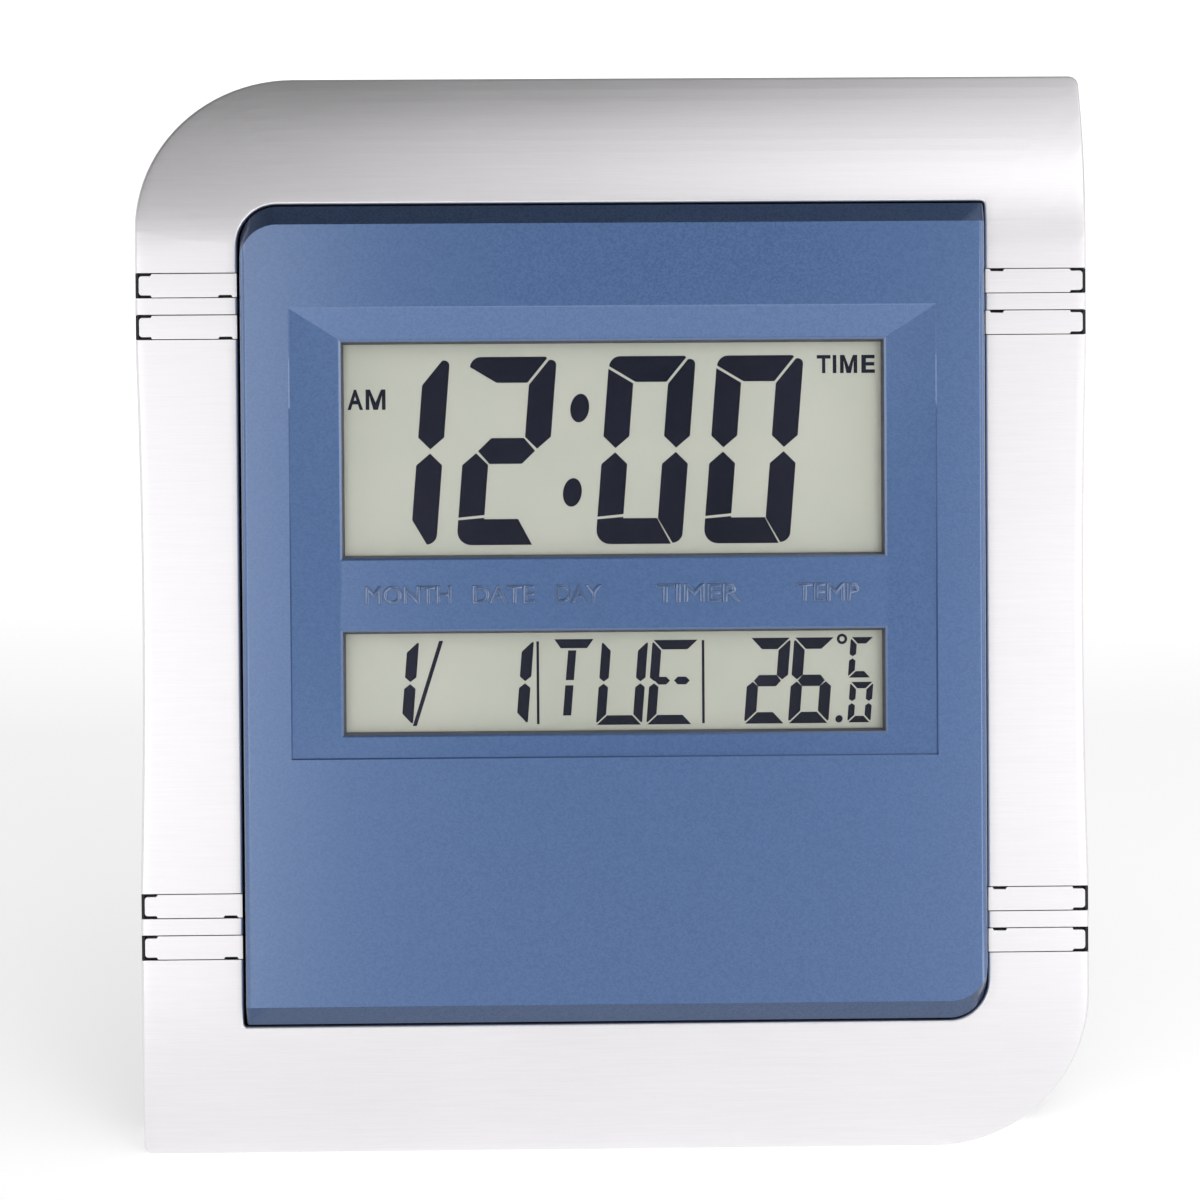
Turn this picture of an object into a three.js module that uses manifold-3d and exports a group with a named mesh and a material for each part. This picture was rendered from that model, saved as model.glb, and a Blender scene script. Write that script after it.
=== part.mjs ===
// Digital desk clock: a brushed silver frame round a raised blue panel with two liquid crystal displays,
// leaning back on a hinged leg. Sizes are in millimetres.
// The clock is drawn upright, with x to the right, y from the face to the back and z up along the face,
// from the frame's flat front at y = 0 and its bottom edge at z = 0. It is then tilted back to stand.
import * as THREE from "three";
import { mergeVertices } from "three/addons/utils/BufferGeometryUtils.js";
import Module from "manifold-3d";

const wasm = await Module();
wasm.setup();

// Whole clock
const WIDTH = 220;
const HEIGHT = 250;
const MIDDLE = HEIGHT / 2;
const LEAN = THREE.MathUtils.degToRad(16);
const FIT_GAP = 0.3;

// Silver frame
const FRAME_WALL = 2;
const FRAME_BACK = 18;
const ROUND_CORNER = 36;
const TIGHT_CORNER = 2;
const TOP_CURVE = { radius: 65, run: 41 };
const BOTTOM_CURVE = { radius: 200, run: 40 };
const RAIL_WAIST = 1;
const OPENING = { side: 86.4, reach: 95, round: 9.3 };

// Trim bars across the frame's side rails, with a dark line round each
const BAR_OFFSETS = [66.9, 76.5];
const BAR_HEIGHT = 4.95;
const BAR_THICKNESS = 2;
const BAR_CORNER = 0.6;
const BAR_LINE = 0.45;
const BAR_END_LINE = 0.9;

// Chassis plate behind the frame
const CHASSIS = { front: 6, back: 8, bottom: 14, top: 229, round: 30, openingGap: 0.5 };
const LUG = { start: OPENING.side + 1, end: WIDTH / 2 - 0.1, toothFront: 0.8 };

// Blue panel, its surround and its windows. Heights are measured from the middle of the face.
const PANEL = { front: -4, wall: 2, side: 85.7, base: 94, face: 90.2, round: 8.6 };
const PANEL_FLANGE = { front: 8.3, back: 10.3, overhang: 4.6 };
const SURROUND = { side: 74.7, bottom: -33, top: 71.2 };
const SURROUND_FLOOR = { side: 62.9, bottom: -27.7, top: 63.4, front: -1.5, back: 0 };
const WINDOW_SIDE = 62.4;
const WINDOWS = {
  time: { bottom: 13.6, top: 62.9 },
  date: { bottom: -27.2, top: -3.9 },
};

// Display stack behind the windows, each layer with its front and back
const LENS = { front: 0.3, back: 1.3, lap: 1.8 };
const CELL = { front: 1.6, back: 3.8, side: 65.4, lap: 2.4, ledge: 4 };
const HOLDER = { front: 0.5, back: 7.7, side: 67.5, rim: 2, ledge: 5 };
const ZEBRA = { thickness: 2.2, inset: 1, side: 59.4 };
const BOARD = { front: 8, back: 9.6, side: 75, bottom: -31, top: 68.5 };
const BOARD_POST = { x: 71, heights: [-25, 62], radius: 3, bore: 1.4, hole: 1.5 };
const ON_BOARD = BOARD.back + FIT_GAP;
const BUZZER = { x: 54, z: 148, height: 6, soundHole: 1.5 };

// Set buttons through the back, and the switches under them
const BUTTONS = { count: 5, pitch: 22, z: 175, radius: 4.6, rise: 1.6, travel: 1, holeGap: 0.4 };
const SWITCH = { half: 3, height: 3.5, plunger: 1.5, plungerRadius: 1.75 };

// Rear cover, whose edge is a row of [y, scale] steps
const COVER = { front: FRAME_BACK + FIT_GAP, back: 30, wall: 2, bottom: 5.4, step: 6, bodyBottom: 12.4 };
const COVER_INSIDE = COVER.back - COVER.wall;
const COVER_EDGE = [[COVER.front, 1], [26, 1], [28.6, 0.99], [COVER.back, 0.967]];
const CASE_SCREW = { x: 97, heights: [52, 125, 198], seat: 27, head: 2.9, shank: 1.45 };
const SCREW_WELL = { radius: 4.6, mouth: 3.5, hole: 1.8 };

// Battery bay, with two AA cells side by side
const AA = { radius: 7.25, length: 49.2, nub: 1.2, nubRadius: 2.7, spacing: 16 };
const SPRING = { turns: 4, wire: 0.4, wide: 3.6, narrow: 2.4, height: 5 };
const CONTACT = { thickness: 0.5, half: 5.5, tabHalf: 1.3, tabRise: 2.5 };
const CONTACT_REACH = 2 * FIT_GAP + CONTACT.thickness;
const BAY_LENGTH = 2 * CONTACT_REACH + SPRING.height + FIT_GAP + AA.length + AA.nub;
const BAY = { left: 40.3, right: 73.7, bottom: 24, top: 24 + BAY_LENGTH, floor: 12.3, wall: 1.6 };
const BAY_X = (BAY.left + BAY.right) / 2;
const AA_XS = [BAY_X - AA.spacing / 2, BAY_X + AA.spacing / 2];
const AA_Y = COVER_INSIDE - AA.radius - 0.8;
const DOOR = { margin: 1.3, gap: 0.4, ribs: 4, ribPitch: 2.6 };
const LEAD_RADIUS = 0.7;

// Stand leg on the back
const HINGE = { y: COVER.back + 4.2, z: 130 };
const LEG = { length: 119.5, thickness: 3.6, topHalf: 22, bottomHalf: 26, knuckle: 3.6, cutCorner: 5 };
const HEEL = { low: 3.6, high: 7, back: 2.6, inset: 3 };
const EAR = { inner: LEG.topHalf + 0.6, outer: LEG.topHalf + 5.4, radius: 4.6, footHalf: 6.4, cap: 0.8 };
const PIN_RADIUS = 1.5;
const FOOT = { halfWidth: 18, halfDepth: 3, height: 4 };

// Where the frame's bottom edge lies, and how far the leg opens to reach the table
const BOTTOM_SETBACK = BOTTOM_CURVE.radius - Math.sqrt(BOTTOM_CURVE.radius ** 2 - BOTTOM_CURVE.run ** 2);
const HINGE_RISE = HINGE.z * Math.cos(LEAN) - (HINGE.y - BOTTOM_SETBACK) * Math.sin(LEAN);
const LEG_SPLAY = Math.acos(HINGE_RISE / LEG.length);
const LEG_OPEN = LEAN + LEG_SPLAY;
const QUARTER = Math.PI / 2;

// Solids: each helper takes [low, high] pairs or outlines and gives a closed solid to join and cut.
function solidOf(geometry) {
  const bare = geometry.clone();
  bare.deleteAttribute("normal");
  bare.deleteAttribute("uv");
  const merged = mergeVertices(bare, 1e-4);
  return new wasm.Manifold(
    new wasm.Mesh({
      numProp: 3,
      vertProperties: merged.attributes.position.array,
      triVerts: new Uint32Array(merged.index.array),
    }),
  );
}

function geometryOf(solid) {
  const made = solid.getMesh();
  const geometry = new THREE.BufferGeometry();
  geometry.setAttribute("position", new THREE.BufferAttribute(made.vertProperties, 3));
  geometry.setIndex(new THREE.BufferAttribute(made.triVerts, 1));
  geometry.computeVertexNormals();
  return geometry;
}

function joined(first, ...others) {
  return others.reduce((whole, piece) => whole.add(piece), first);
}

function cut(first, ...others) {
  return others.reduce((whole, piece) => whole.subtract(piece), first);
}

function box([left, right], [front, back], [bottom, top]) {
  const geometry = new THREE.BoxGeometry(right - left, back - front, top - bottom);
  geometry.translate((left + right) / 2, (front + back) / 2, (bottom + top) / 2);
  return solidOf(geometry);
}

// A plate of an outline drawn on the face, in x and z.
function plate(outline, [front, back], curveSegments = 10) {
  const geometry = new THREE.ExtrudeGeometry(outline, {
    depth: back - front,
    bevelEnabled: false,
    curveSegments,
  });
  geometry.rotateX(QUARTER);
  geometry.translate(0, back, 0);
  return solidOf(geometry);
}

// A plate of an outline whose front and back are scaled about the middle of the face.
function taperedPlate(outline, [front, back], frontScale, backScale, curveSegments = 8) {
  const depth = back - front;
  const geometry = new THREE.ExtrudeGeometry(outline, { depth, bevelEnabled: false, curveSegments });
  const points = geometry.getAttribute("position");
  for (let i = 0; i < points.count; i++) {
    const scale = points.getZ(i) > depth / 2 ? frontScale : backScale;
    points.setX(i, points.getX(i) * scale);
    points.setY(i, MIDDLE + (points.getY(i) - MIDDLE) * scale);
  }
  geometry.rotateX(QUARTER);
  geometry.translate(0, back, 0);
  return solidOf(geometry);
}

// A bar of a side outline, drawn in y and z, that runs across the clock.
function across(outline, [left, right], curveSegments = 10) {
  const geometry = new THREE.ExtrudeGeometry(outline, {
    depth: right - left,
    bevelEnabled: false,
    curveSegments,
  });
  const toAcross = new THREE.Matrix4().makeBasis(
    new THREE.Vector3(0, 1, 0),
    new THREE.Vector3(0, 0, 1),
    new THREE.Vector3(1, 0, 0),
  );
  geometry.applyMatrix4(toAcross);
  geometry.translate(left, 0, 0);
  return solidOf(geometry);
}

// A round post square to the face.
function post(radius, [x, z], [front, back], sides = 12) {
  const geometry = new THREE.CylinderGeometry(radius, radius, back - front, sides);
  geometry.translate(x, (front + back) / 2, z);
  return solidOf(geometry);
}

// A turned piece square to the face, from its profile of [radius, y] points.
function turned(profile, [x, z], sides = 20) {
  const points = profile.map(([radius, y]) => new THREE.Vector2(radius, y));
  const geometry = new THREE.LatheGeometry(points, sides);
  geometry.translate(x, 0, z);
  return solidOf(geometry);
}

// A turned piece that stands along z, from its profile of [radius, z] points.
function standing(profile, [x, y, z], sides = 20) {
  const points = profile.map(([radius, height]) => new THREE.Vector2(radius, height));
  const geometry = new THREE.LatheGeometry(points, sides);
  geometry.rotateX(QUARTER);
  geometry.translate(x, y, z);
  return solidOf(geometry);
}

function outlineOf(points) {
  return new THREE.Shape(points.map(([a, b]) => new THREE.Vector2(a, b)));
}

// A rectangle with a round bottom right and top left corner, and two square ones.
function twoRoundCorners([left, right], [bottom, top], round) {
  return new THREE.Shape()
    .moveTo(left, bottom)
    .lineTo(right - round, bottom)
    .absarc(right - round, bottom + round, round, -QUARTER, 0)
    .lineTo(right, top)
    .lineTo(left + round, top)
    .absarc(left + round, top - round, round, QUARTER, 2 * QUARTER);
}

// The clock's outline, drawn in by an inset and ended at a bottom height: two round corners, two tight ones
// and slightly waisted sides.
function clockOutline(inset, bottom) {
  const side = WIDTH / 2 - inset;
  const top = HEIGHT - inset;
  const round = ROUND_CORNER - inset;
  const tight = Math.max(TIGHT_CORNER - inset, 1);
  const arcX = WIDTH / 2 - ROUND_CORNER;
  const arcStart = Math.asin((bottom - ROUND_CORNER) / round);
  const waistEnd = BAR_OFFSETS[0] - BAR_HEIGHT;
  return new THREE.Shape()
    .moveTo(-side + tight, bottom)
    .lineTo(arcX + round * Math.cos(arcStart), bottom)
    .absarc(arcX, ROUND_CORNER, round, arcStart, 0)
    .lineTo(side, MIDDLE - waistEnd)
    .quadraticCurveTo(side - 2 * RAIL_WAIST, MIDDLE, side, MIDDLE + waistEnd)
    .lineTo(side, top - tight)
    .absarc(side - tight, top - tight, tight, 0, QUARTER)
    .lineTo(-arcX, top)
    .absarc(-arcX, HEIGHT - ROUND_CORNER, round, QUARTER, 2 * QUARTER)
    .lineTo(-side, MIDDLE + waistEnd)
    .quadraticCurveTo(-side + 2 * RAIL_WAIST, MIDDLE, -side, MIDDLE - waistEnd)
    .lineTo(-side, bottom + tight)
    .absarc(-side + tight, bottom + tight, tight, 2 * QUARTER, 3 * QUARTER);
}

// Height of the table under a point of the upright clock, at its depth.
function tableAt(y) {
  return (y - BOTTOM_SETBACK) * Math.tan(LEAN);
}

// The frame's side outline, drawn in by an inset: curved top and bottom bands, and a base flat on the table.
function frameSide(inset, back) {
  const bandTop = HEIGHT - TOP_CURVE.run;
  const topRadius = TOP_CURVE.radius - inset;
  const bottomRadius = BOTTOM_CURVE.radius - inset;
  const topTurn = Math.asin((TOP_CURVE.run - inset) / topRadius);
  const baseLift = inset / Math.cos(LEAN);
  const bottomTurn = Math.asin((BOTTOM_CURVE.run - baseLift) / bottomRadius);
  return new THREE.Shape()
    .moveTo(back, tableAt(back) + baseLift)
    .lineTo(back, HEIGHT - inset)
    .lineTo(TOP_CURVE.radius - topRadius * Math.cos(topTurn), HEIGHT - inset)
    .absarc(TOP_CURVE.radius, bandTop, topRadius, Math.PI - topTurn, Math.PI)
    .lineTo(inset, BOTTOM_CURVE.run)
    .absarc(BOTTOM_CURVE.radius, BOTTOM_CURVE.run, bottomRadius, Math.PI, Math.PI + bottomTurn);
}

// The frame's opening, grown all round by a gap.
function openingOutline(gap) {
  const side = OPENING.side + gap;
  const reach = OPENING.reach + gap;
  return twoRoundCorners([-side, side], [MIDDLE - reach, MIDDLE + reach], OPENING.round + gap);
}

// Places of the eight trim bars, as a name, a side of -1 or 1, and a height.
function barPlaces() {
  const places = [];
  for (const [sideName, side] of [["left", -1], ["right", 1]]) {
    for (const [levelName, level] of [["upper", 1], ["lower", -1]]) {
      BAR_OFFSETS.forEach((offset, i) => {
        const name = `trim_bar_${sideName}_${levelName}_${i + 1}`;
        places.push({ name, side, z: MIDDLE + level * offset });
      });
    }
  }
  return places;
}

function mirrored(side, [inner, outer]) {
  return side > 0 ? [inner, outer] : [-outer, -inner];
}

// Pressed frame: an open-backed shell with curved bands, the panel's opening and a slot for each trim bar.
function silverFrame() {
  const past = WIDTH / 2 + 1;
  const outside = plate(clockOutline(0, 0), [-1, FRAME_BACK], 10)
    .intersect(across(frameSide(0, FRAME_BACK), [-past, past], 7));
  const inside = plate(clockOutline(FRAME_WALL, FRAME_WALL), [-1, FRAME_BACK + 1], 10)
    .intersect(across(frameSide(FRAME_WALL, FRAME_BACK + 1), [-past, past], 7));
  const slotHalf = BAR_HEIGHT / 2 + BAR_LINE;
  const slots = barPlaces().map(({ side, z }) => {
    const height = [z - slotHalf, z + slotHalf];
    return box(mirrored(side, [OPENING.side - 1, past]), [-1, CHASSIS.front - FIT_GAP], height);
  });
  return cut(outside, inside, plate(openingOutline(0), [-1, FRAME_BACK], 6), ...slots);
}

// A trim bar, square at the panel's side and rounded at its outer end.
function trimBar({ side, z }) {
  const half = BAR_HEIGHT / 2;
  const inner = side * (OPENING.side + 0.1);
  const outer = side * (WIDTH / 2 - BAR_END_LINE);
  const turn = side * BAR_CORNER;
  const outline = new THREE.Shape()
    .moveTo(inner, z - half)
    .lineTo(outer - turn, z - half)
    .quadraticCurveTo(outer, z - half, outer, z - half + BAR_CORNER)
    .lineTo(outer, z + half - BAR_CORNER)
    .quadraticCurveTo(outer, z + half, outer - turn, z + half)
    .lineTo(inner, z + half);
  return plate(outline, [0, BAR_THICKNESS], 3);
}

// Dark plate behind the frame, with a lug under each trim bar and a screw post on each rail.
function frontChassis() {
  const side = WIDTH / 2 - FRAME_WALL - RAIL_WAIST - FIT_GAP;
  const outline = twoRoundCorners([-side, side], [CHASSIS.bottom, CHASSIS.top], CHASSIS.round);
  let chassis = cut(plate(outline, [CHASSIS.front, CHASSIS.back], 6),
    plate(openingOutline(CHASSIS.openingGap), [0, CHASSIS.back + 1], 4));
  const lugHalf = BAR_HEIGHT / 2 + BAR_LINE - FIT_GAP / 2;
  for (const { side: hand, z } of barPlaces()) {
    const height = [z - lugHalf, z + lugHalf];
    const under = BAR_THICKNESS + FIT_GAP;
    const base = box(mirrored(hand, [LUG.start, LUG.end]), [under, CHASSIS.front - FIT_GAP], height);
    const foot = box(mirrored(hand, [LUG.start, side - 1]), [under + 1, CHASSIS.front + 1], height);
    const tooth = box(mirrored(hand, [WIDTH / 2 - BAR_END_LINE + 0.15, LUG.end]), [LUG.toothFront, under + 1],
      height);
    chassis = joined(chassis, base, foot, tooth);
  }
  for (const place of caseScrewPlaces()) {
    const mouth = COVER.front - FIT_GAP;
    chassis = joined(chassis, post(SCREW_WELL.mouth, place, [CHASSIS.back - 1, mouth], 10));
    chassis = cut(chassis, post(SCREW_WELL.hole, place, [CHASSIS.back + 0.5, mouth + 1], 10));
  }
  return chassis;
}

function caseScrewPlaces() {
  return [-CASE_SCREW.x, CASE_SCREW.x].flatMap((x) => CASE_SCREW.heights.map((z) => [x, z]));
}

// The panel's outline on the face, grown or drawn in all round.
function panelOutline(grow) {
  const side = PANEL.side + grow;
  const reach = PANEL.base + grow;
  return twoRoundCorners([-side, side], [MIDDLE - reach, MIDDLE + reach], PANEL.round + grow);
}

// The panel's block, drawn in by an inset: straight behind the frame's front, and before it tapered, where
// the outline's upper and lower ends move in towards the face.
function panelBlock(inset, back) {
  const depth = -PANEL.front - inset;
  const slope = (PANEL.base - PANEL.face) / -PANEL.front;
  const drawnIn = PANEL.base - PANEL.face - inset * (1 + slope - Math.hypot(1, slope));
  const outline = panelOutline(-inset);
  const taper = new THREE.ExtrudeGeometry(outline, { depth, bevelEnabled: false, curveSegments: 6 });
  const points = taper.getAttribute("position");
  for (let i = 0; i < points.count; i++) {
    const onFace = points.getZ(i) > depth / 2;
    if (onFace) points.setY(i, points.getY(i) - Math.sign(points.getY(i) - MIDDLE) * drawnIn);
  }
  taper.rotateX(QUARTER);
  return joined(solidOf(taper), plate(outline, [0, back], 6));
}

// The hollow of the surround: a block whose face at the back is smaller than its mouth.
function surroundHollow() {
  const beyond = 1;
  const flare = 1 + beyond / (SURROUND_FLOOR.front - PANEL.front);
  const mouth = (edge) => SURROUND_FLOOR[edge] + (SURROUND[edge] - SURROUND_FLOOR[edge]) * flare;
  const geometry = new THREE.BoxGeometry(2, 2, 2);
  const corners = geometry.getAttribute("position");
  for (let i = 0; i < corners.count; i++) {
    const atFloor = corners.getY(i) > 0;
    const edge = corners.getZ(i) > 0 ? "top" : "bottom";
    const side = atFloor ? SURROUND_FLOOR.side : mouth("side");
    const height = atFloor ? SURROUND_FLOOR[edge] : mouth(edge);
    const y = atFloor ? SURROUND_FLOOR.front : PANEL.front - beyond;
    corners.setXYZ(i, Math.sign(corners.getX(i)) * side, y, MIDDLE + height);
  }
  return solidOf(geometry);
}

// A window's [bottom, top], grown by a lap.
function windowSpan(name, lap) {
  const { bottom, top } = WINDOWS[name];
  return [MIDDLE + bottom - lap, MIDDLE + top + lap];
}

// Moulded panel: an open-backed tray with sloped ends, the surround's hollow, two windows, a flange that
// lies behind the chassis, and posts for the circuit board.
function bluePanel() {
  const { back } = PANEL_FLANGE;
  const backingSide = SURROUND.side + PANEL.wall;
  const backing = box([-backingSide, backingSide], [PANEL.front + PANEL.wall - 0.5, SURROUND_FLOOR.back],
    [MIDDLE + SURROUND.bottom - PANEL.wall, MIDDLE + SURROUND.top + PANEL.wall]);
  const flange = cut(plate(panelOutline(PANEL_FLANGE.overhang), [PANEL_FLANGE.front, back], 6),
    plate(panelOutline(-PANEL.wall / 2), [0, back + 1], 6));
  const windows = Object.keys(WINDOWS).map((name) =>
    box([-WINDOW_SIDE, WINDOW_SIDE], [PANEL.front, SURROUND_FLOOR.back + 1], windowSpan(name, 0)));
  const posts = boardPosts().map((place) =>
    post(BOARD_POST.radius, place, [SURROUND_FLOOR.back - 0.5, BOARD.front - FIT_GAP], 10));
  const bores = boardPosts().map((place) =>
    post(BOARD_POST.bore, place, [SURROUND_FLOOR.back + 0.5, BOARD.front], 10));
  const tray = joined(cut(panelBlock(0, back), panelBlock(PANEL.wall, back + 1)), backing, flange, ...posts);
  return cut(tray, surroundHollow(), ...windows, ...bores);
}

function boardPosts() {
  return [-BOARD_POST.x, BOARD_POST.x].flatMap((x) =>
    BOARD_POST.heights.map((height) => [x, MIDDLE + height]));
}

function windowLens(name) {
  const side = WINDOW_SIDE + LENS.lap;
  return box([-side, side], [LENS.front, LENS.back], windowSpan(name, LENS.lap));
}

// A crystal cell's span: it reaches past its window by a lap, and on one edge by its contact ledge.
function cellSpan(name) {
  const [bottom, top] = windowSpan(name, CELL.lap);
  return name === "time" ? [bottom - CELL.ledge + CELL.lap, top] : [bottom, top + CELL.ledge - CELL.lap];
}

function crystalCell(name) {
  return box([-CELL.side, CELL.side], [CELL.front, CELL.back], cellSpan(name));
}

// The conductive rubber strip behind a cell's contact ledge.
function zebraStrip(name) {
  const [bottom, top] = cellSpan(name);
  const low = name === "time" ? bottom + ZEBRA.inset : top - ZEBRA.inset - ZEBRA.thickness;
  return box([-ZEBRA.side, ZEBRA.side], [CELL.back + FIT_GAP, HOLDER.back], [low, low + ZEBRA.thickness]);
}

// A tray that clamps both cells: a pocket for each, open behind except for a ledge at its sides.
function lcdHolder() {
  const top = cellSpan("time")[1] + HOLDER.rim;
  const bottom = cellSpan("date")[0] - HOLDER.rim;
  let holder = box([-HOLDER.side, HOLDER.side], [HOLDER.front, HOLDER.back], [bottom, top]);
  for (const name of Object.keys(WINDOWS)) {
    const [low, high] = cellSpan(name);
    const pocketSide = CELL.side + FIT_GAP;
    const wellSide = CELL.side - HOLDER.ledge;
    const pocket = box([-pocketSide, pocketSide], [0, CELL.back + FIT_GAP], [low - FIT_GAP, high + FIT_GAP]);
    const well = box([-wellSide, wellSide], [0, HOLDER.back + 1], [low + FIT_GAP, high - FIT_GAP]);
    holder = cut(holder, pocket, well);
  }
  return holder;
}

function circuitBoard() {
  const board = box([-BOARD.side, BOARD.side], [BOARD.front, BOARD.back],
    [MIDDLE + BOARD.bottom, MIDDLE + BOARD.top]);
  const holes = boardPosts().map((place) =>
    post(BOARD_POST.hole, place, [BOARD.front - 1, BOARD.back + 1], 10));
  return cut(board, ...holes);
}

// A dome of black resin over the bare chip.
function controllerChip() {
  const dome = [[0, 0], [9, 0], [8.4, 1.1], [6, 2.2], [0, 2.8]];
  return turned(dome.map(([radius, rise]) => [radius, ON_BOARD + rise]), [-18, 142], 16);
}

// A watch crystal in its can, lying along the board.
function quartzCrystal() {
  const can = [[0, -4], [1.5, -4], [1.5, 4], [0, 4]];
  return standing(can, [8, ON_BOARD + 1.6, 150], 12);
}

function buzzer() {
  const top = ON_BOARD + BUZZER.height;
  const drum = [[0, ON_BOARD], [12, ON_BOARD], [12, top - 0.8], [11.2, top], [BUZZER.soundHole, top],
    [BUZZER.soundHole, top - 2], [0, top - 2]];
  return turned(drum, [BUZZER.x, BUZZER.z], 20);
}

// A bead thermistor that stands off the board.
function temperatureSensor() {
  const bead = [[0, -2.2], [1.4, -1.6], [1.7, 0], [1.4, 1.6], [0, 2.2]];
  return standing(bead, [-62, ON_BOARD + 2.4, 104], 10);
}

function buttonPlaces() {
  const first = (-(BUTTONS.count - 1) / 2) * BUTTONS.pitch;
  return Array.from({ length: BUTTONS.count }, (_, i) => [first + i * BUTTONS.pitch, BUTTONS.z]);
}

function keySwitch([x, z]) {
  const top = ON_BOARD + SWITCH.height;
  const can = box([x - SWITCH.half, x + SWITCH.half], [ON_BOARD, top], [z - SWITCH.half, z + SWITCH.half]);
  return can.add(post(SWITCH.plungerRadius, [x, z], [top - 0.5, top + SWITCH.plunger], 10));
}

// A key cap with a dished top, a collar inside the cover and a stem that reaches its switch.
function setButton(place) {
  const collar = { radius: 6, front: COVER_INSIDE - FIT_GAP - 1.4, back: COVER_INSIDE - FIT_GAP };
  const stem = { radius: 2.2, end: ON_BOARD + SWITCH.height + SWITCH.plunger + BUTTONS.travel + FIT_GAP };
  const cap = COVER.back + BUTTONS.rise;
  const profile = [[0, stem.end], [stem.radius, stem.end], [stem.radius, collar.front],
    [collar.radius, collar.front], [collar.radius, collar.back], [BUTTONS.radius, collar.back],
    [BUTTONS.radius, cap - 0.6], [BUTTONS.radius - 0.7, cap], [0, cap - 0.4]];
  return turned(profile, place, 16);
}

// The cover's shell: a flange against the frame and a raised body with a rounded edge, hollow inside.
function coverShell() {
  const bodyOutline = clockOutline(COVER.step, COVER.bodyBottom);
  const cavityOutline = clockOutline(COVER.step + 1.5 * COVER.wall, COVER.bodyBottom + 1.5 * COVER.wall);
  let shell = plate(clockOutline(COVER.wall / 4, COVER.bottom), [COVER.front, COVER.front + COVER.wall], 8);
  COVER_EDGE.slice(1).forEach(([y, scale], i) => {
    const [lastY, lastScale] = COVER_EDGE[i];
    shell = shell.add(taperedPlate(bodyOutline, [lastY, y], lastScale, scale));
  });
  return shell.subtract(plate(cavityOutline, [COVER.front - 1, COVER_INSIDE], 6));
}

// Moulded back: the shell with its battery bay, screw posts, button holes and sound slots.
function rearCover() {
  const throughBack = [COVER_INSIDE - 1, COVER.back + 1];
  const bayOutside = box([BAY.left - BAY.wall, BAY.right + BAY.wall],
    [BAY.floor - BAY.wall, COVER_INSIDE + 0.5], [BAY.bottom - BAY.wall, BAY.top + BAY.wall]);
  const bayInside = box([BAY.left, BAY.right], [BAY.floor, COVER.back + 1], [BAY.bottom, BAY.top]);
  const doorway = box([BAY.left - DOOR.margin, BAY.right + DOOR.margin], [COVER_INSIDE, COVER.back + 1],
    [BAY.bottom - DOOR.margin, BAY.top + DOOR.margin]);
  const tabHalf = CONTACT.tabHalf + DOOR.gap;
  const tabSlots = AA_XS.map((x) => box([x - tabHalf, x + tabHalf], [AA_Y - tabHalf, AA_Y + tabHalf],
    [BAY.top - 1, BAY.top + BAY.wall + 1]));
  let cover = cut(coverShell().add(bayOutside), bayInside, doorway, ...tabSlots);

  for (const place of caseScrewPlaces()) {
    const well = post(SCREW_WELL.radius, place, [COVER.front, COVER.back - 0.5]);
    const seat = post(SCREW_WELL.mouth, place, [CASE_SCREW.seat, COVER.back + 1]);
    const hole = post(SCREW_WELL.hole, place, [COVER.front - 1, COVER.back], 10);
    cover = cut(cover.add(well), seat, hole);
  }
  for (const place of buttonPlaces()) {
    cover = cover.subtract(post(BUTTONS.radius + BUTTONS.holeGap, place, throughBack, 16));
  }
  for (const row of [-2, -1, 0, 1, 2]) {
    const z = BUZZER.z + row * 4.5;
    const half = 8 - Math.abs(row) * 1.5;
    cover = cover.subtract(box([BUZZER.x - half, BUZZER.x + half], throughBack, [z - 0.9, z + 0.9]));
  }
  return cover;
}

// An ear on the cover's back that holds one end of the hinge pin in a blind bore.
function hingeEar(side) {
  const foot = COVER.back + FIT_GAP;
  const outline = new THREE.Shape()
    .moveTo(foot, HINGE.z - EAR.footHalf)
    .lineTo(HINGE.y, HINGE.z - EAR.radius)
    .absarc(HINGE.y, HINGE.z, EAR.radius, -QUARTER, QUARTER)
    .lineTo(foot, HINGE.z + EAR.footHalf);
  const bore = crossRod(PIN_RADIUS + FIT_GAP, mirrored(side, [EAR.inner - 1, EAR.outer - EAR.cap]),
    [HINGE.y, HINGE.z]);
  return across(outline, mirrored(side, [EAR.inner, EAR.outer]), 8).subtract(bore);
}

// A rod that runs across the clock, along a line at y and z.
function crossRod(radius, [left, right], [y, z], sides = 16) {
  const geometry = new THREE.CylinderGeometry(radius, radius, right - left, sides);
  geometry.rotateZ(-QUARTER);
  geometry.translate((left + right) / 2, y, z);
  return solidOf(geometry);
}

// The snap-in door over the bay, with grip ribs.
function batteryDoor() {
  const grow = DOOR.margin - DOOR.gap;
  let door = box([BAY.left - grow, BAY.right + grow], [COVER_INSIDE + FIT_GAP, COVER.back],
    [BAY.bottom - grow, BAY.top + grow]);
  for (let row = 0; row < DOOR.ribs; row++) {
    const z = BAY.bottom + 5 + row * DOOR.ribPitch;
    door = door.add(box([BAY_X - 9, BAY_X + 9], [COVER.back - 0.5, COVER.back + 0.6], [z - 0.6, z + 0.6]));
  }
  return door;
}

// A cell standing in the bay, with its nub up or down.
function batteryCell(x, nubUp) {
  const end = AA.length + AA.nub;
  const low = BAY.bottom + CONTACT_REACH + (nubUp ? SPRING.height + FIT_GAP : 0);
  const can = [[0, 0], [AA.radius, 0], [AA.radius, AA.length - 0.6], [AA.radius - 0.8, AA.length],
    [AA.nubRadius, AA.length], [AA.nubRadius, end], [0, end]];
  const profile = nubUp ? can : can.map(([radius, z]) => [radius, end - z]).reverse();
  return standing(profile, [x, AA_Y, low], 18);
}

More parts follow.
